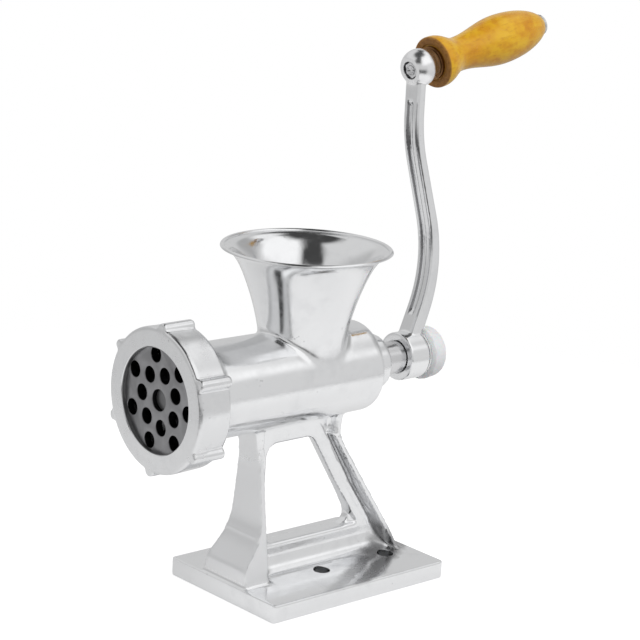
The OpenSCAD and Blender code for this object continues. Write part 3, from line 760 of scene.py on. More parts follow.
# The rear flange, which leans.
rear_face = 54
rear_foot = 31
rear_thick = 3.77
# Both flanges' sides are held true from here up.
side_low = 13
# The four bolt holes.
bolt_radius = 4.5
bolt_places = [(x, 17.5 + y) for x in (-17, 17) for y in (-23, 23)]


def bell_radius(height):
    """Outer radius of the hopper at a height."""
    share = max(0.0, (height - hopper_low) / (hopper_top - hopper_low))
    return neck_radius + 16.8 * share ** 1.6 + 5.45 * share ** 13


def barrel_radius_at(station):
    """Outer radius of the barrel at a distance ahead of the middle."""
    share = (station + barrel_rear) / (barrel_taper_front + barrel_rear)
    return barrel_rear_radius + (barrel_radius - barrel_rear_radius) * min(1.0, max(0.0, share))


print("bell radius at the rim:", round(bell_radius(hopper_top), 2))

# %% [markdown]
# ### Fill, grow and relax
# Plugs close the bore, the hopper and the holes, because the skin should follow the outside only. They
# reach a little into the walls round them and end a hair inside the faces they close. Later they are cut
# away again. The whole skin is relaxed a little for its edges. The hopper's joint with the barrel and the
# foot's joint with the base are relaxed longer, which fills them like a moulder's wax fillet. Then the
# forms that have to be true are set back on their curves: the hopper, the barrel, the flare of the front
# flange and the sides of both flanges.

# %% Grow the skin of the casting
casting_voxel = 0.88 * mm
hopper_frame = upright(0, -hopper_ahead)
bell_cut = 149.0
mouth_cut = 78.0


def loft(sections):
    """A closed solid through rings of points in mm, one ring for each section."""
    bm = bmesh.new()
    rings = [[bm.verts.new(Vector(point) * mm) for point in section] for section in sections]
    for first, second in zip(rings, rings[1:]):
        for index in range(len(first)):
            after = (index + 1) % len(first)
            bm.faces.new((first[index], first[after], second[after], second[index]))
    bm.faces.new(rings[0])
    bm.faces.new(rings[-1])
    bmesh.ops.recalc_face_normals(bm, faces=bm.faces)
    return bm


quarter = [math.pi / 2 * index / 6 for index in range(7)]


def web_half(height):
    """Half the web's thickness at a height: it swells smoothly towards the foot."""
    if height > sill_top:
        return 3.0 + 2.0 * smooth_step(50 - height, 0, 24)
    return max(5.0, 9.0 - 4.0 * (height - base_top) / 9.2)


def rear_inner_face(height):
    """How far behind the middle the leaning rear flange's inner face lies."""
    return rear_face - (height - base_top) * rear_slope - rear_thick


def flange_half(height, foot):
    """Half a flange's width at a height."""
    rise = max(0.0, flange_top - height) / (flange_top - base_top)
    return 8.5 + (foot / 2 - 8.5) * rise ** 1.4 - 0.1


def flange_fillet(face, foot, side):
    """Fills the corners between a flange and the web. The rear flange leans, so its face moves."""
    sections = []
    for height in (9.6, 12, 15, 18, 22, 26, 31, 38, 48, 60, 72, 82):
        start = face if face is not None else rear_inner_face(height)
        reach = 3.2 + 6.5 * smooth_step(30 - height, 0, 20)
        wide = flange_half(height, foot) - 1.0
        thin = min(web_half(height) - 0.4, wide - 0.5)
        curve = [(thin + (wide - thin) * (1 - math.sin(turn)), start - side * reach * (1 - math.cos(turn)))
                 for turn in quarter]
        half = [(wide, start + side * 1.4)] + curve
        ring = half + [(-x, y) for x, y in reversed(half)]
        sections.append([(x, y, height) for x, y in ring])
    return loft(sections)


def swollen_post(front):
    """Swells the web beside the window down to the thickness under it."""
    sections = []
    for height in (25, 28, 32, 36, 40, 45, 51):
        half = web_half(height) if height < 50 else 2.8
        low, high = (-43, -35.7) if front else (rear_inner_face(height) - 10.1, rear_inner_face(height) + 1)
        sections.append([(half, low, height), (half, high, height), (-half, high, height),
                         (-half, low, height)])
    return loft(sections)


def foot_fillet():
    """Fills the long corners between the foot and the base plate."""
    curve = [(5.4 + 11 * (1 - math.sin(turn)), base_top - 0.1 + 9 * (1 - math.cos(turn))) for turn in quarter]
    half = [(16.4, base_top - 0.8)] + curve
    ring = half + [(-x, z) for x, z in reversed(half)]
    return loft([[(x, y, z) for x, z in ring] for y in (-43, 46)])


def filled_casting():
    """The frame's casting with its openings plugged and its inner corners filled."""
    heights = [114, 126, 134, 142, 150, 158, 164]
    wall = [(bell_radius(height) - hopper_wall / 2, height) for height in heights]
    # The barrel's plug, the boss's plug, the hopper's plug, and then one for each bolt hole.
    plugs = [cylinder(22.5, -22.5, 99, 48, barrel_frame),
             cylinder(10, -boss_end + 0.1, 0, 32, barrel_frame),
             lathe([(0, heights[0])] + wall + [(0, heights[-1])], 64, hopper_frame)]
    plugs += [cylinder(5, 0.05, base_top - 0.05, 24, upright(x, y)) for x, y in bolt_places]
    fillets = [flange_fillet(-front_face, front_foot, -1), flange_fillet(None, rear_foot, 1),
               swollen_post(True), swollen_post(False), foot_fillet()]
    return merge_into(node_copy("body_casting"), *plugs, *fillets)


def hopper_gap(place):
    """Distance of a point from the hopper's outside, in mm."""
    across = math.hypot(place.x, place.y + hopper_ahead * mm)
    return across / mm - bell_radius(place.z / mm)


def barrel_gap(place):
    """Distance of a point from the barrel's outside, in mm."""
    across = math.hypot(place.x, place.z - axis_height * mm)
    return across / mm - barrel_radius_at(-place.y / mm)


def hopper_joint(place):
    """Whether a point is near the line where the hopper meets the barrel."""
    return place.z > 118 * mm and hopper_gap(place) < 3.5 and barrel_gap(place) < 3.5


def foot_joint(place):
    """Whether a point is on the base's top or low on what stands there, away from the base's edge."""
    on_plate = abs(place.x) < 39 * mm and abs(place.y) < 56 * mm
    return on_plate and (base_top - 0.4) * mm < place.z < (base_top + 12) * mm


skin = grow_skin(filled_casting(), casting_voxel)
print("faces grown:", len(skin.faces))
relax(skin, [vert for vert in skin.verts if foot_joint(vert.co)], 12)
relax(skin, [vert for vert in skin.verts if hopper_joint(vert.co)], 12)
relax(skin, [vert for vert in skin.verts if vert.co.z > (base_top + 1) * mm], 2)
relax(skin, skin.verts[:], 2)


# %% Hold the round forms true
def hold_round_forms(bm):
    """Sets the skin back on the true hopper and barrel, away from their joints."""
    for vert in bm.verts:
        place = vert.co
        if place.z > 130 * mm and abs(hopper_gap(place)) < 0.5:
            hold = smooth_step(barrel_gap(place), 2.0, 5.0)
            across = Vector((place.x, place.y + hopper_ahead * mm))
            grown = across.normalized() * bell_radius(place.z / mm) * mm
            vert.co.x += (grown.x - across.x) * hold
            vert.co.y += (grown.y - across.y) * hold
        elif abs(barrel_gap(place)) < 0.5 and place.y < (barrel_rear - 4) * mm and place.z > 92 * mm:
            beside_web = smooth_step(abs(place.x) / mm, 12, 15) if place.z < axis_height * mm else 1.0
            hold = beside_web * smooth_step(hopper_gap(place), 2.0, 5.0)
            across = Vector((place.x, place.z - axis_height * mm))
            grown = across.normalized() * barrel_radius_at(-place.y / mm) * mm
            vert.co.x += (grown.x - across.x) * hold
            vert.co.z += (grown.y - across.y) * hold


def front_outer_face(height):
    """Where the front flange's face stands: it flares to the toe in one long curve."""
    if height > curve_top:
        return -front_outer
    if height > curve_end:
        return -front_outer - curve_radius + math.sqrt(curve_radius ** 2 - (curve_top - height) ** 2)
    return -front_outer - (flare_top - max(height, flare_end)) * flare_slope


def frame_front_face(height):
    """The same face on the frame's solid, where the flare is a plain slope."""
    return -front_outer - min(flare_depth, max(0.0, flare_top - height) * flare_slope)


def flare_front_flange(bm):
    """Moves the front face from the frame's slope to the long curve."""
    reach = 2.6
    for vert in bm.verts:
        height = vert.co.z / mm
        depth = vert.co.y / mm - frame_front_face(height)
        if 21 < height < 50 and -2 < depth < reach:
            move = front_outer_face(height) - frame_front_face(height)
            vert.co.y += move * mm * (1 - smooth_step(depth, 0, reach))


def hold_flange_sides(bm, outer, inner, foot, top):
    """Sets a flange's side faces on their true curve, with a small round at each edge."""
    edge_round = 1.4
    side_verts = [vert for vert in bm.verts
                  if side_low * mm < vert.co.z < top * mm
                  and -0.8 < abs(vert.co.x) / mm - flange_half(vert.co.z / mm, foot) + 2.0
                  and min(abs(vert.co.y / mm - outer(vert.co.z / mm)),
                          abs(vert.co.y / mm - inner(vert.co.z / mm))) < 2.0]
    relax(bm, side_verts, 6)
    for vert in bm.verts:
        height = vert.co.z / mm
        if not side_low < height < top or abs(vert.co.x) < 6 * mm:
            continue
        station = vert.co.y / mm
        first, last = sorted((outer(height), inner(height)))
        within = min(station - first, last - station)
        half = flange_half(height, foot)
        if within > -0.6 and abs(abs(vert.co.x) / mm - half) < 0.9:
            rounded = 0.5 * (1 - min(max(within, 0.0), edge_round) / edge_round) ** 2
            hold = smooth_step(height, side_low, side_low + 6) * smooth_step(top - height, 0, 6)
            target = math.copysign((half - rounded) * mm, vert.co.x)
            vert.co.x += (target - vert.co.x) * hold


hold_round_forms(skin)
flare_front_flange(skin)
hold_flange_sides(skin, front_outer_face, lambda height: -front_face, front_foot, 84)
hold_flange_sides(skin, lambda height: rear_inner_face(height) + rear_thick, rear_inner_face, rear_foot, 74)
print("skin relaxed and held")

# %% Cut the bore, the hopper and the holes
inside_heights = [112, hopper_low, 134, 138, 142, 146, bell_cut, 153, 220]
inside_line = [(bell_radius(min(height, 153)) - hopper_wall, height) for height in inside_heights]
tools = [cylinder(bore_radius, -bore_rear, 120, 96, barrel_frame),
         cylinder(shaft_bore_radius, -60, 0, 64, barrel_frame),
         lathe([(0, 112)] + inside_line + [(0, 220)], 144, hopper_frame)]
tools += [cylinder(bolt_radius, -5, 20, 48, upright(x, y)) for x, y in bolt_places]
skin = cut_out(skin, *tools)
print("faces after the cuts:", len(skin.faces))


# %% [markdown]
# ### The hopper's bell and the mouth
# Both ends are thin and sharp, so they are turned shapes. The skin is cut off square, the turned end
# starts a little further out, and a bridge of faces joins each pair of round loops.


# %% Cut square, add the turned ends, bridge
def slice_off(bm, place, normal):
    """Removes what lies beyond a plane."""
    bmesh.ops.bisect_plane(bm, geom=bm.verts[:] + bm.edges[:] + bm.faces[:], dist=0.0001 * mm,
                           plane_co=place, plane_no=normal, clear_outer=True)


def open_loops(bm, on_plane, centre, middle_radius):
    """The open edges near a plane, as an outer and an inner ring."""
    rings = ([], [])
    for edge in bm.edges:
        if edge.is_boundary and on_plane(edge.verts[0].co):
            rings[(edge.verts[0].co - centre).length < middle_radius * mm].append(edge)
    return rings


slice_off(skin, (0, 0, bell_cut * mm), (0, 0, 1))
slice_off(skin, (0, -mouth_cut * mm, 0), (0, -1, 0))

bridge_gap = 0.8
bell_steps = [bell_cut + bridge_gap + (hopper_top - 1.4 - bell_cut) * (index / 22) ** 0.8
              for index in range(23)]
lip_radius = 1.2
rim_middle = bell_radius(hopper_top) - lip_radius
lip = [(rim_middle + lip_radius * math.cos(turn), hopper_top - lip_radius + lip_radius * math.sin(turn))
       for turn in [math.pi * index / 8 for index in range(9)]]
outer_line = [(bell_radius(height), height) for height in bell_steps if height < hopper_top - 1.3]
inner_line = [(min(bell_radius(height), rim_middle + lip_radius) - hopper_wall, height)
              for height in reversed(bell_steps) if height < hopper_top - 1.3]
bell = lathe(outer_line + lip + inner_line, 144, hopper_frame, closed=False)
merge_into(skin, bell)

thread_stations = [92.7, 96.7, 100.7]
thread_bottom = mouth_radius - thread_depth
thread_line = [point for middle in thread_stations
               for point in ((mouth_radius, middle - 0.87), (thread_bottom, middle - 0.5),
                             (thread_bottom, middle + 0.5), (mouth_radius, middle + 0.87))]
mouth_start = mouth_cut + bridge_gap
mouth_line = ([(barrel_radius_at(mouth_start), mouth_start), (barrel_radius, barrel_taper_front),
               (mouth_radius - 4, 88.2), (mouth_radius, 90.2)] + thread_line
              + [(mouth_radius, 103.4), (mouth_radius - 0.8, mouth_end), (31.06, mouth_end), (31.06, 101.3),
                 (28, 101.3), (28, 90.2), (bore_radius, 85.2), (bore_radius, mouth_start)])
mouth = lathe(mouth_line, 144, barrel_frame, closed=False)
merge_into(skin, mouth)


def bridge_ends(bm, lower_plane, upper_plane, centre, middle_radius):
    """Joins the skin's cut end and a turned end, outside with outside and inside with inside."""
    lower = open_loops(bm, lower_plane, centre[0], middle_radius)
    upper = open_loops(bm, upper_plane, centre[1], middle_radius)
    for first, second in zip(lower, upper):
        bmesh.ops.bridge_loops(bm, edges=first + second)
        print("bridged", len(first), "to", len(second))


def near(value, target):
    """Whether a value in metres is as good as a target in mm."""
    return abs(value - target * mm) < 0.02 * mm


bell_start = bell_cut + bridge_gap
hopper_centres = [Vector((0, -hopper_ahead, height)) * mm for height in (bell_cut, bell_start)]
bridge_ends(skin, lambda co: near(co.z, bell_cut) and abs(co.x) < 0.05,
            lambda co: near(co.z, bell_start), hopper_centres, bell_radius(bell_cut) - hopper_wall / 2)
mouth_centres = [Vector((0, -station, axis_height)) * mm for station in (mouth_cut, mouth_start)]
bridge_ends(skin, lambda co: near(co.y, -mouth_cut), lambda co: near(co.y, -mouth_start),
            mouth_centres, (bore_radius + barrel_radius) / 2)
bmesh.ops.recalc_face_normals(skin, faces=skin.faces)


# %% Finish the casting
def finish_piece(bm, name, body, material, replaced, sharp=35):
    """Makes the bmesh a shown piece: shaded smooth up to an angle, riding on its body."""
    piece = add_piece(bm, name)
    piece.data.materials.append(materials[material])
    piece.data.shade_smooth()
    piece.data.set_sharp_from_angle(angle=math.radians(sharp))
    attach(piece, body)
    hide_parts(*replaced)
    piece.data.calc_loop_triangles()
    print(name, "has", len(piece.data.loop_triangles), "triangles")


finish_piece(skin, "casting", "frame", "bright_casting", ["body_casting"])

# %% [markdown]
# ## The ring nut
# The ring is cast too: its six finger lugs run into the rim with small fillets, and its front is then
# faced flat in a lathe. It is grown and relaxed like the body, from the frame's ring with its opening
# filled. The opening and the bore are cut afterwards, so that their edges stay as sharp as a tool leaves
# them, with a small chamfer where the fingers and the meat pass.

# %% Grow the ring nut
ring_front = 108.6
ring_bore = 33.62
ring_opening = 27.0
lug_places = [25 + 60 * index for index in range(6)]
lug_circle = 37.52


def ring_radius_at(station):
    """Outer radius of the ring between its lugs, at a distance ahead of the middle."""
    return 36.92 + 0.5 * min(1.0, max(0.0, (station - 89.7) / 17.4))


def hold_ring(bm):
    """Sets the skin back on the true cone between the lugs."""
    inverse = barrel_frame.inverted()
    for vert in bm.verts:
        local = inverse @ vert.co
        radius = math.hypot(local.x, local.y)
        grown = ring_radius_at(local.z / mm) * mm
        if abs(radius - grown) > 0.4 * mm or not 90.6 * mm < local.z < 106.4 * mm:
            continue
        lug_gap = min(math.hypot(local.x - lug_circle * mm * math.cos(math.radians(turn)),
                                 local.y - lug_circle * mm * math.sin(math.radians(turn)))
                      for turn in lug_places) / mm - 3.0
        share = 1 + (grown / radius - 1) * smooth_step(lug_gap, 0.8, 2.2)
        vert.co = barrel_frame @ Vector((local.x * share, local.y * share, local.z))


def grow_ring():
    """The ring with its lugs, grown full and then cut open."""
    bm = merge_into(node_copy("ring_nut"), cylinder(34.4, 89.1, 106.2, 72, barrel_frame),
                    cylinder(28, 105, 108.5, 72, barrel_frame))
    bm = grow_skin(bm, 0.6 * mm)
    relax(bm, bm.verts[:], 6)
    hold_ring(bm)
    chamfer = 0.6
    opening = [(0, 100), (ring_opening, 100), (ring_opening, ring_front - chamfer),
               (ring_opening + chamfer, ring_front), (ring_opening + chamfer, 112), (0, 112)]
    return cut_out(bm, cylinder(ring_bore, 80, 105.9, 128, barrel_frame), lathe(opening, 128, barrel_frame))


finish_piece(grow_ring(), "ring_nut_cast", "ring", "ring_casting", ["ring_nut"])


# %% [markdown]
# ## The crank
# Hub, bowed arm and ball are one casting. The arm is an outline with round corners and a groove, swept
# along its bowed middle line. Hub, ball and arm then grow one skin, finer than the body's, because the
# groove is only a few millimetres wide. Flats, bores and seats are machined afterwards. The ball was
# tumbled less bright than the arm. Dark lines of painted shade run along the groove's walls, and a painted
# reflection line along the arm's corner.

# %% Where the crank and its handle lie
crank_turn = math.radians(3.5)
handle_tilt = math.radians(11.7)
crank_frame = (Matrix.Translation((0, 0, axis_height * mm)) @ Matrix.Rotation(-crank_turn, 4, "Y")
               @ Matrix.Translation((0, 0, -axis_height * mm)))
shaft_frame = crank_frame @ barrel_frame
ball_height = 271
handle_frame = (crank_frame @ Matrix.Translation((0, 68.5 * mm, ball_height * mm))
                @ Matrix.Rotation(handle_tilt - math.pi / 2, 4, "X"))
ball_radius = 10.1
rod_end = 94.7
hub_radius = 13.2
hub_front = 55.7
hub_rear = 69.1
neck_boss_radius = 8.3


# %% Grow the crank
def square_bar(side, low, high, stand):
    """A closed square bar along the stand's Z, sizes in mm."""
    bm = bmesh.new()
    shape = (stand @ Matrix.Translation((0, 0, (low + high) / 2 * mm))
             @ Matrix.Diagonal((side * mm, side * mm, (high - low) * mm, 1)))
    bmesh.ops.create_cube(bm, size=1.0, matrix=shape)
    return bm


def hold_ball(bm):
    """Sets the skin back on the true ball, away from the arm and the flats."""
    centre = handle_frame.translation
    axis = (handle_frame.to_3x3() @ Vector((0, 0, 1))).normalized()
    down = (crank_frame.to_3x3() @ Vector((0, 0, -1))).normalized()
    for vert in bm.verts:
        away = vert.co - centre
        if abs(away.length - ball_radius * mm) < 0.35 * mm:
            beside_flats = smooth_step(4.2 - away.dot(axis) / mm, 0, 1.5)
            above_arm = smooth_step(5.0 - away.dot(down) / mm, 0, 3)
            hold = beside_flats * above_arm
            vert.co = centre + away * (1 + (ball_radius * mm / away.length - 1) * hold)


def round_corner(before, corner, after, radius, steps=14):
    """Points of an arc that rounds a corner of a line in the Y-Z plane."""
    first = (Vector(before) - Vector(corner)).normalized()
    second = (Vector(after) - Vector(corner)).normalized()
    half = first.angle(second) / 2
    centre = Vector(corner) + (first + second).normalized() * radius / math.sin(half)
    start = Vector(corner) + first * radius / math.tan(half) - centre
    end = Vector(corner) + second * radius / math.tan(half) - centre
    return [centre + start.slerp(end, index / steps) * radius for index in range(steps + 1)]


def arm_line():
    """The middle line of the bowed arm, from the ball to the hub, with short even steps."""
    top, neck, bend, foot = (66.7, ball_height), (64.7, 233.56), (82.9, 164.3), (60.8, axis_height)
    rough = ([Vector(top)] + round_corner(top, neck, bend, 85) + round_corner(neck, bend, foot, 76)
             + [Vector(foot)])
    points = [rough[0]]
    for first, second in zip(rough, rough[1:]):
        count = max(1, round((second - first).length / 1.5))
        points += [first.lerp(second, (index + 1) / count) for index in range(count)]
    return points


def arm_section(thick, groove):
    """The arm's outline as (across, ahead) points, with its groove in the face."""
    half = 5.7
    front_round = 1.9
    rear_round = 1.4
    groove_depth = 1.5
    points = []
    for index in range(31):
        x = -3.8 + 7.6 * index / 30
        sunk = groove * groove_depth * smooth_step(2.35 - abs(x + 0.5), 0, 1.3)
        points.append((x, thick / 2 - sunk))
    corners = [
        # (place of the corner's centre, its radius, the angle where it starts)
        (half - front_round, thick / 2 - front_round, front_round, math.pi / 2),
        (half - rear_round, -thick / 2 + rear_round, rear_round, 0),
        (rear_round - half, -thick / 2 + rear_round, rear_round, -math.pi / 2),
        (front_round - half, thick / 2 - front_round, front_round, -math.pi),
    ]
    for middle_x, middle_y, radius, start in corners:
        for index in range(7):
            turn = start - math.pi / 2 * index / 6
            points.append((middle_x + radius * math.cos(turn), middle_y + radius * math.sin(turn)))
    return points


def arm_sweep():
    """The arm as a solid. It gets thinner from the hub to the ball."""
    line = arm_line()
    sections = []
    for index, point in enumerate(line):
        along = (line[min(index + 1, len(line) - 1)] - line[max(index - 1, 0)]).normalized()
        ahead = Vector((along.y, -along.x))
        thick = 5.6 + 3.4 * (1 - (point.y - axis_height) / (ball_height - axis_height)) ** 2
        groove = smooth_step(point.y, 136, 138) * smooth_step(253.5 - point.y, 0, 2)
        sections.append([(x, point.x + ahead.x * depth, point.y + ahead.y * depth)
                         for x, depth in arm_section(thick, groove)])
    bm = loft(sections)
    bmesh.ops.remove_doubles(bm, verts=bm.verts, dist=0.001 * mm)
    bmesh.ops.transform(bm, matrix=crank_frame, verts=bm.verts)
    return bm


def grow_crank():
    """Arm, ball, neck boss and hub in one skin, with the machined seats cut out."""
    ball = [(ball_radius * math.sin(turn), -ball_radius * math.cos(turn))
            for turn in [math.pi * index / 32 for index in range(33)]]
    neck = [(0, 0), (neck_boss_radius, 0), (neck_boss_radius, 8.0), (7.8, 8.5), (0, 8.5)]
    hub = [(0, -hub_rear), (12.7, -hub_rear), (hub_radius, -hub_rear + 0.5),
           (hub_radius, -hub_front - 0.6), (12.6, -hub_front), (0, -hub_front)]
    bm = merge_into(arm_sweep(), lathe(ball, 64, handle_frame), lathe(neck, 64, handle_frame),
                    lathe(hub, 96, shaft_frame))
    bm = grow_skin(bm, 0.45 * mm)
    relax(bm, bm.verts[:], 3)
    hold_ball(bm)
    nut_seat = [(0, -12), (4.9, -12), (4.9, -3.9), (2.52, -3.9), (2.52, 0), (3.52, 0), (3.52, 12), (0, 12)]
    ball_flat = cylinder(8.5, -14, -7.1, 48, handle_frame)
    spot_face = cylinder(15.3, -90, -hub_rear - 0.05, 64, shaft_frame)
    counterbore = cylinder(9.4, -58.7, -50, 64, shaft_frame)
    square_hole = square_bar(11.1, -72, -57, shaft_frame)
    return cut_out(bm, ball_flat, spot_face, counterbore, square_hole, lathe(nut_seat, 48, handle_frame))


def satin_ball():
    """The ball was tumbled less bright than the arm."""
    tree = materials["crank_casting"].node_tree
    away = add_node(tree, "ShaderNodeVectorMath", operation="DISTANCE")
    tree.links.new(object_place(tree), away.inputs[0])
    away.inputs[1].default_value = handle_frame.translation
    near_ball = ramp_between(tree, away.outputs["Value"], 10 * mm, 14 * mm, 1.0, 0.0)
    cover(tree, near_ball, (0.95, 0.95, 0.96), 0.24)


def paint_groove_shade():
    """Painted dark lines of shade along the two walls of the arm's groove, and a painted reflection line
    along the arm's corner.
    """
    tree = materials["crank_casting"].node_tree
    coordinates = add_node(tree, "ShaderNodeTexCoord").outputs
    axes = split_axes(tree, coordinates["Object"])
    height = minus(tree, axes["Z"], axis_height * mm)
    across = plus(tree, times(tree, axes["X"], math.cos(crank_turn)),
                  times(tree, height, math.sin(crank_turn)))
    # The first two lines are painted shade on the groove's walls, the third a painted reflection on the arm's
    # corner.
    painted_shade_lines = [
        # (place across the arm, half its core, half its width, strength)
        (-2.3, 0.25, 0.75, 0.8),
        (1.35, 0.15, 0.5, 0.45),
        (4.6, 0.1, 0.45, 0.5),
    ]
    dirt_and_painted_shade = 0.0
    for middle, core, edge, strength in painted_shade_lines:
        away = off_line(tree, across, middle * mm)
        dirt_and_painted_shade = plus(tree, dirt_and_painted_shade, ramp_between(tree, away, core * mm, edge * mm, strength, 0.0))
    over_hub = ramp_between(tree, height, 21.0 * mm, 23.0 * mm)
    under_ball = ramp_between(tree, height, 136.5 * mm, 138.5 * mm, 1.0, 0.0)
    ahead = maths(tree, "LESS_THAN", split_axes(tree, coordinates["Normal"])["Y"], -0.25)
    cover(tree, times(tree, dirt_and_painted_shade, over_hub, under_ball, ahead), (0.20, 0.20, 0.21), 0.3)


satin_ball()
paint_groove_shade()
finish_piece(grow_crank(), "crank_cast", "crank", "crank_casting", ["crank_arm"])

# %% Sink the nut in the ball
def bevel_sharp(bm, width, segments=2, angle=40):
    """Bevels the edges that are sharper than an angle, on a copy cleared of its flat edges."""
    bmesh.ops.dissolve_limit(bm, angle_limit=math.radians(0.6), verts=bm.verts, edges=bm.edges)
    sharp = [edge for edge in bm.edges
             if len(edge.link_faces) == 2 and edge.calc_face_angle() > math.radians(angle)]
    bmesh.ops.bevel(bm, geom=sharp, offset=width, affect="EDGES", segments=segments, profile=0.5,
                    material=-1, clamp_overlap=True)
    return bm


def six_sided(radius, low, high, stand):
    """A closed hexagonal prism along the stand's Z, sizes in mm."""
    bm = bmesh.new()
    shape = stand @ Matrix.Translation((0, 0, (low + high) / 2 * mm))
    bmesh.ops.create_cone(bm, cap_ends=True, segments=6, radius1=radius * mm, radius2=radius * mm,
                          depth=(high - low) * mm, matrix=shape)
    return bm


nut = cut_out(six_sided(4.6, -6.2, -4.9, handle_frame), cylinder(2.54, -9, 0, 32, handle_frame))
finish_piece(bevel_sharp(nut, 0.25 * mm), "ball_nut", "crank", "turned_steel", ["rod_nut"])
rod_line = [(0, -6.3), (1.0, -6.3), (2.0, -6.9), (2.5, -6.5), (2.5, 0.1), (3.5, 0.1), (3.5, rod_end),
            (0, rod_end)]
finish_piece(lathe(rod_line, 48, handle_frame), "turned_rod", "crank", "turned_steel",
             ["handle_rod"])

# %% [markdown]
# ## The wooden grip
# The grip is turned from a close-grained wood, dipped in yellow varnish, and left brown on the collar's
# face, where the end grain drank the varnish. The shape is a lathe profile. Its grain follows the
# handle's own axis, so a Mapping node lays the pattern along the tilted handle.

# %% Turn the grip
grip_start = 9.5
grip_length = 83.0
grip_radii = {"collar": 14.0, "neck": 9.4, "belly": 13.7, "end": 6.2}
collar_width = 3.0
neck_at = 0.22 * grip_length
belly_at = 0.625 * grip_length


def swell(first, last, share):
    """A radius that moves from first to last along a half wave."""
    return first + (last - first) * (1 - math.cos(math.pi * share)) / 2


def grip_radius(along):
    """Radius of the grip at a distance from its collar's face."""
    collar, neck, belly, end = grip_radii.values()
    if along < collar_width:
        return collar
    if along < neck_at:
        return swell(collar, neck, (along - collar_width) / (neck_at - collar_width))
    if along < belly_at:
        return swell(neck, belly, (along - neck_at) / (belly_at - neck_at))
    fall = (along - belly_at) / (grip_length - belly_at)
    low = end / belly
    return belly * math.sqrt(1 - (1 - low * low) * fall * fall)


def turn_grip():
    """The grip's outline, turned round the rod."""
    edge = 1.2
    rod_hole = 3.56
    corner = [(grip_radii["collar"] - edge + edge * math.sin(angle), edge - edge * math.cos(angle))
              for angle in [math.pi / 2 * index / 6 for index in range(6)]]
    side = [(grip_radius(along), along)
            for along in [edge + (grip_length - edge) * index / 90 for index in range(91)]]
    outline = ([(rod_hole, 0.8), (10.0, 0.8), (10.0, 0.2), (10.2, 0)] + corner + side
               + [(rod_hole, grip_length)])
    stations = [(radius, along + grip_start) for radius, along in outline]
    return lathe(stations, 128, handle_frame)


# %% Varnished wood
def varnished_wood():
    """Yellow varnish over close grain, brown on the collar's face."""
    material, tree, shader = start_material("varnished_wood", (0.72, 0.42, 0.06), 0.0, 0.3)
    along = add_node(tree, "ShaderNodeMapping", vector_type="TEXTURE")
    along.inputs["Location"].default_value = handle_frame.translation
    along.inputs["Rotation"].default_value = handle_frame.to_euler()
    tree.links.new(object_place(tree), along.inputs["Vector"])
    grip_place = along.outputs[0]
    grain_room = add_node(tree, "ShaderNodeMapping")
    grain_room.inputs["Scale"].default_value = (1.0, 1.0, 0.16)
    tree.links.new(grip_place, grain_room.inputs["Vector"])
    grain = noise(tree, grain_room.outputs[0], 900.0, 5.0, 0.62)
    streak = noise(tree, grain_room.outputs[0], 260.0, 3.0, 0.5)
    mottle = noise(tree, grip_place, 75.0, 3.0, 0.55)
    flame = noise(tree, grip_place, 210.0, 2.0, 0.5)
    stains = [
        # (pattern, where it starts, where it is full, strength, colour)
        (mottle, 0.35, 0.68, 1.0, (0.66, 0.30, 0.016)),
        (flame, 0.46, 0.74, 0.55, (0.56, 0.22, 0.014)),
        (grain, 0.52, 0.78, 0.5, (0.42, 0.16, 0.014)),
        (streak, 0.5, 0.8, 0.5, (0.86, 0.56, 0.045)),
    ]
    color = (0.78, 0.45, 0.022)
    for pattern, low, high, strength, stain in stains:
        color = mix_color(tree, ramp_between(tree, pattern, low, high, 0.0, strength), color, stain)
    depth = split_axes(tree, grip_place)["Z"]
    on_face = ramp_between(tree, depth, (grip_start + 0.35) * mm, (grip_start + 1.5) * mm, 1.0, 0.0)
    end_grain = ramp_between(tree, noise(tree, grip_place, 520.0, 5.0, 0.7), 0.35, 0.7)
    brown = mix_color(tree, end_grain, (0.40, 0.185, 0.040), (0.25, 0.105, 0.024))
    tree.links.new(mix_color(tree, on_face, color, brown), shader.inputs["Base Color"])
    dull = maths(tree, "MULTIPLY_ADD", mottle, 0.18, 0.16)
    tree.links.new(maths(tree, "MULTIPLY_ADD", on_face, 0.25, dull), shader.inputs["Roughness"])
    shader.inputs["IOR"].default_value = 1.38
    add_bump(tree, shader, plus(tree, grain, times(tree, mottle, 2.0)), 0.06)
    return material


materials["varnished_wood"] = varnished_wood()
finish_piece(turn_grip(), "turned_grip", "grip", "varnished_wood", ["wooden_grip"],
             sharp=50)

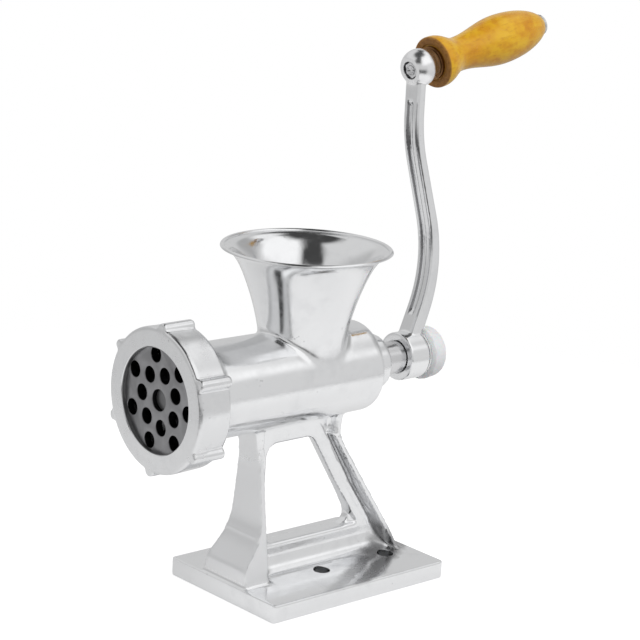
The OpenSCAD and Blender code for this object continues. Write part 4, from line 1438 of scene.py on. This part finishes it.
# %% [markdown]
# ## The thumb knob
# The knob is moulded in a white translucent plastic round the head of its stud. Its fourteen flats have
# soft edges, so it is grown and relaxed like the castings, with a skin of a third of a millimetre. A
# little light passes under its surface, which keeps its shadow side pale.


# %% Mould the knob
def milky_plastic():
    """White plastic that lets a little light pass under its surface."""
    material, tree, shader = start_material("milky_plastic", (0.86, 0.87, 0.885), 0.0, 0.32)
    shader.inputs["Subsurface Weight"].default_value = 0.12
    shader.inputs["Subsurface Scale"].default_value = 3.0 * mm
    shader.inputs["IOR"].default_value = 1.49
    marks = place_group(tree, casting_skin, Grain_Scale=1600.0, Wave_Scale=160.0, Wave_Share=0.7,
                        Rough_Low=0.26, Rough_High=0.42)
    tree.links.new(marks["Roughness"], shader.inputs["Roughness"])
    add_bump(tree, shader, marks["Height"], 0.04)
    return material


materials["milky_plastic"] = milky_plastic()
knob_skin = grow_skin(node_copy("thumb_knob"), 0.34 * mm)
relax(knob_skin, knob_skin.verts[:], 4)
finish_piece(knob_skin, "moulded_knob", "knob", "milky_plastic", ["thumb_knob"])

# %% [markdown]
# ## The hole plate
# The plate is ground flat and its holes are drilled, then lightly countersunk, which draws a thin bright
# rim round each hole. Behind the face the holes are near black. The frame's plate has the right
# holes, so a copy of it gets its sharp edges bevelled.


# %% Countersink the plate
def plate_metal():
    """Ground steel, near black behind the front face."""
    material, tree, shader = start_material("ground_plate", (0.34, 0.34, 0.35), 1.0)
    marks = place_group(tree, casting_skin, Grain_Scale=2600.0, Wave_Scale=130.0, Wave_Share=0.3,
                        Rough_Low=0.34, Rough_High=0.50)
    behind = ramp_between(tree, split_axes(tree, object_place(tree))["Y"], -105.5 * mm, -105.0 * mm)
    smudges = times(tree, place_group(tree, shop_dirt)["Smudge"], 0.5)
    face = mix_color(tree, smudges, (0.36, 0.36, 0.37), (0.26, 0.26, 0.27))
    finish_shader(tree, shader, mix_color(tree, behind, face, (0.03, 0.03, 0.032)), marks, 0.01)
    return material


materials["ground_plate"] = plate_metal()
finish_piece(bevel_sharp(node_copy("hole_plate"), 0.3 * mm), "drilled_plate", "plate",
             "ground_plate", ["hole_plate"])
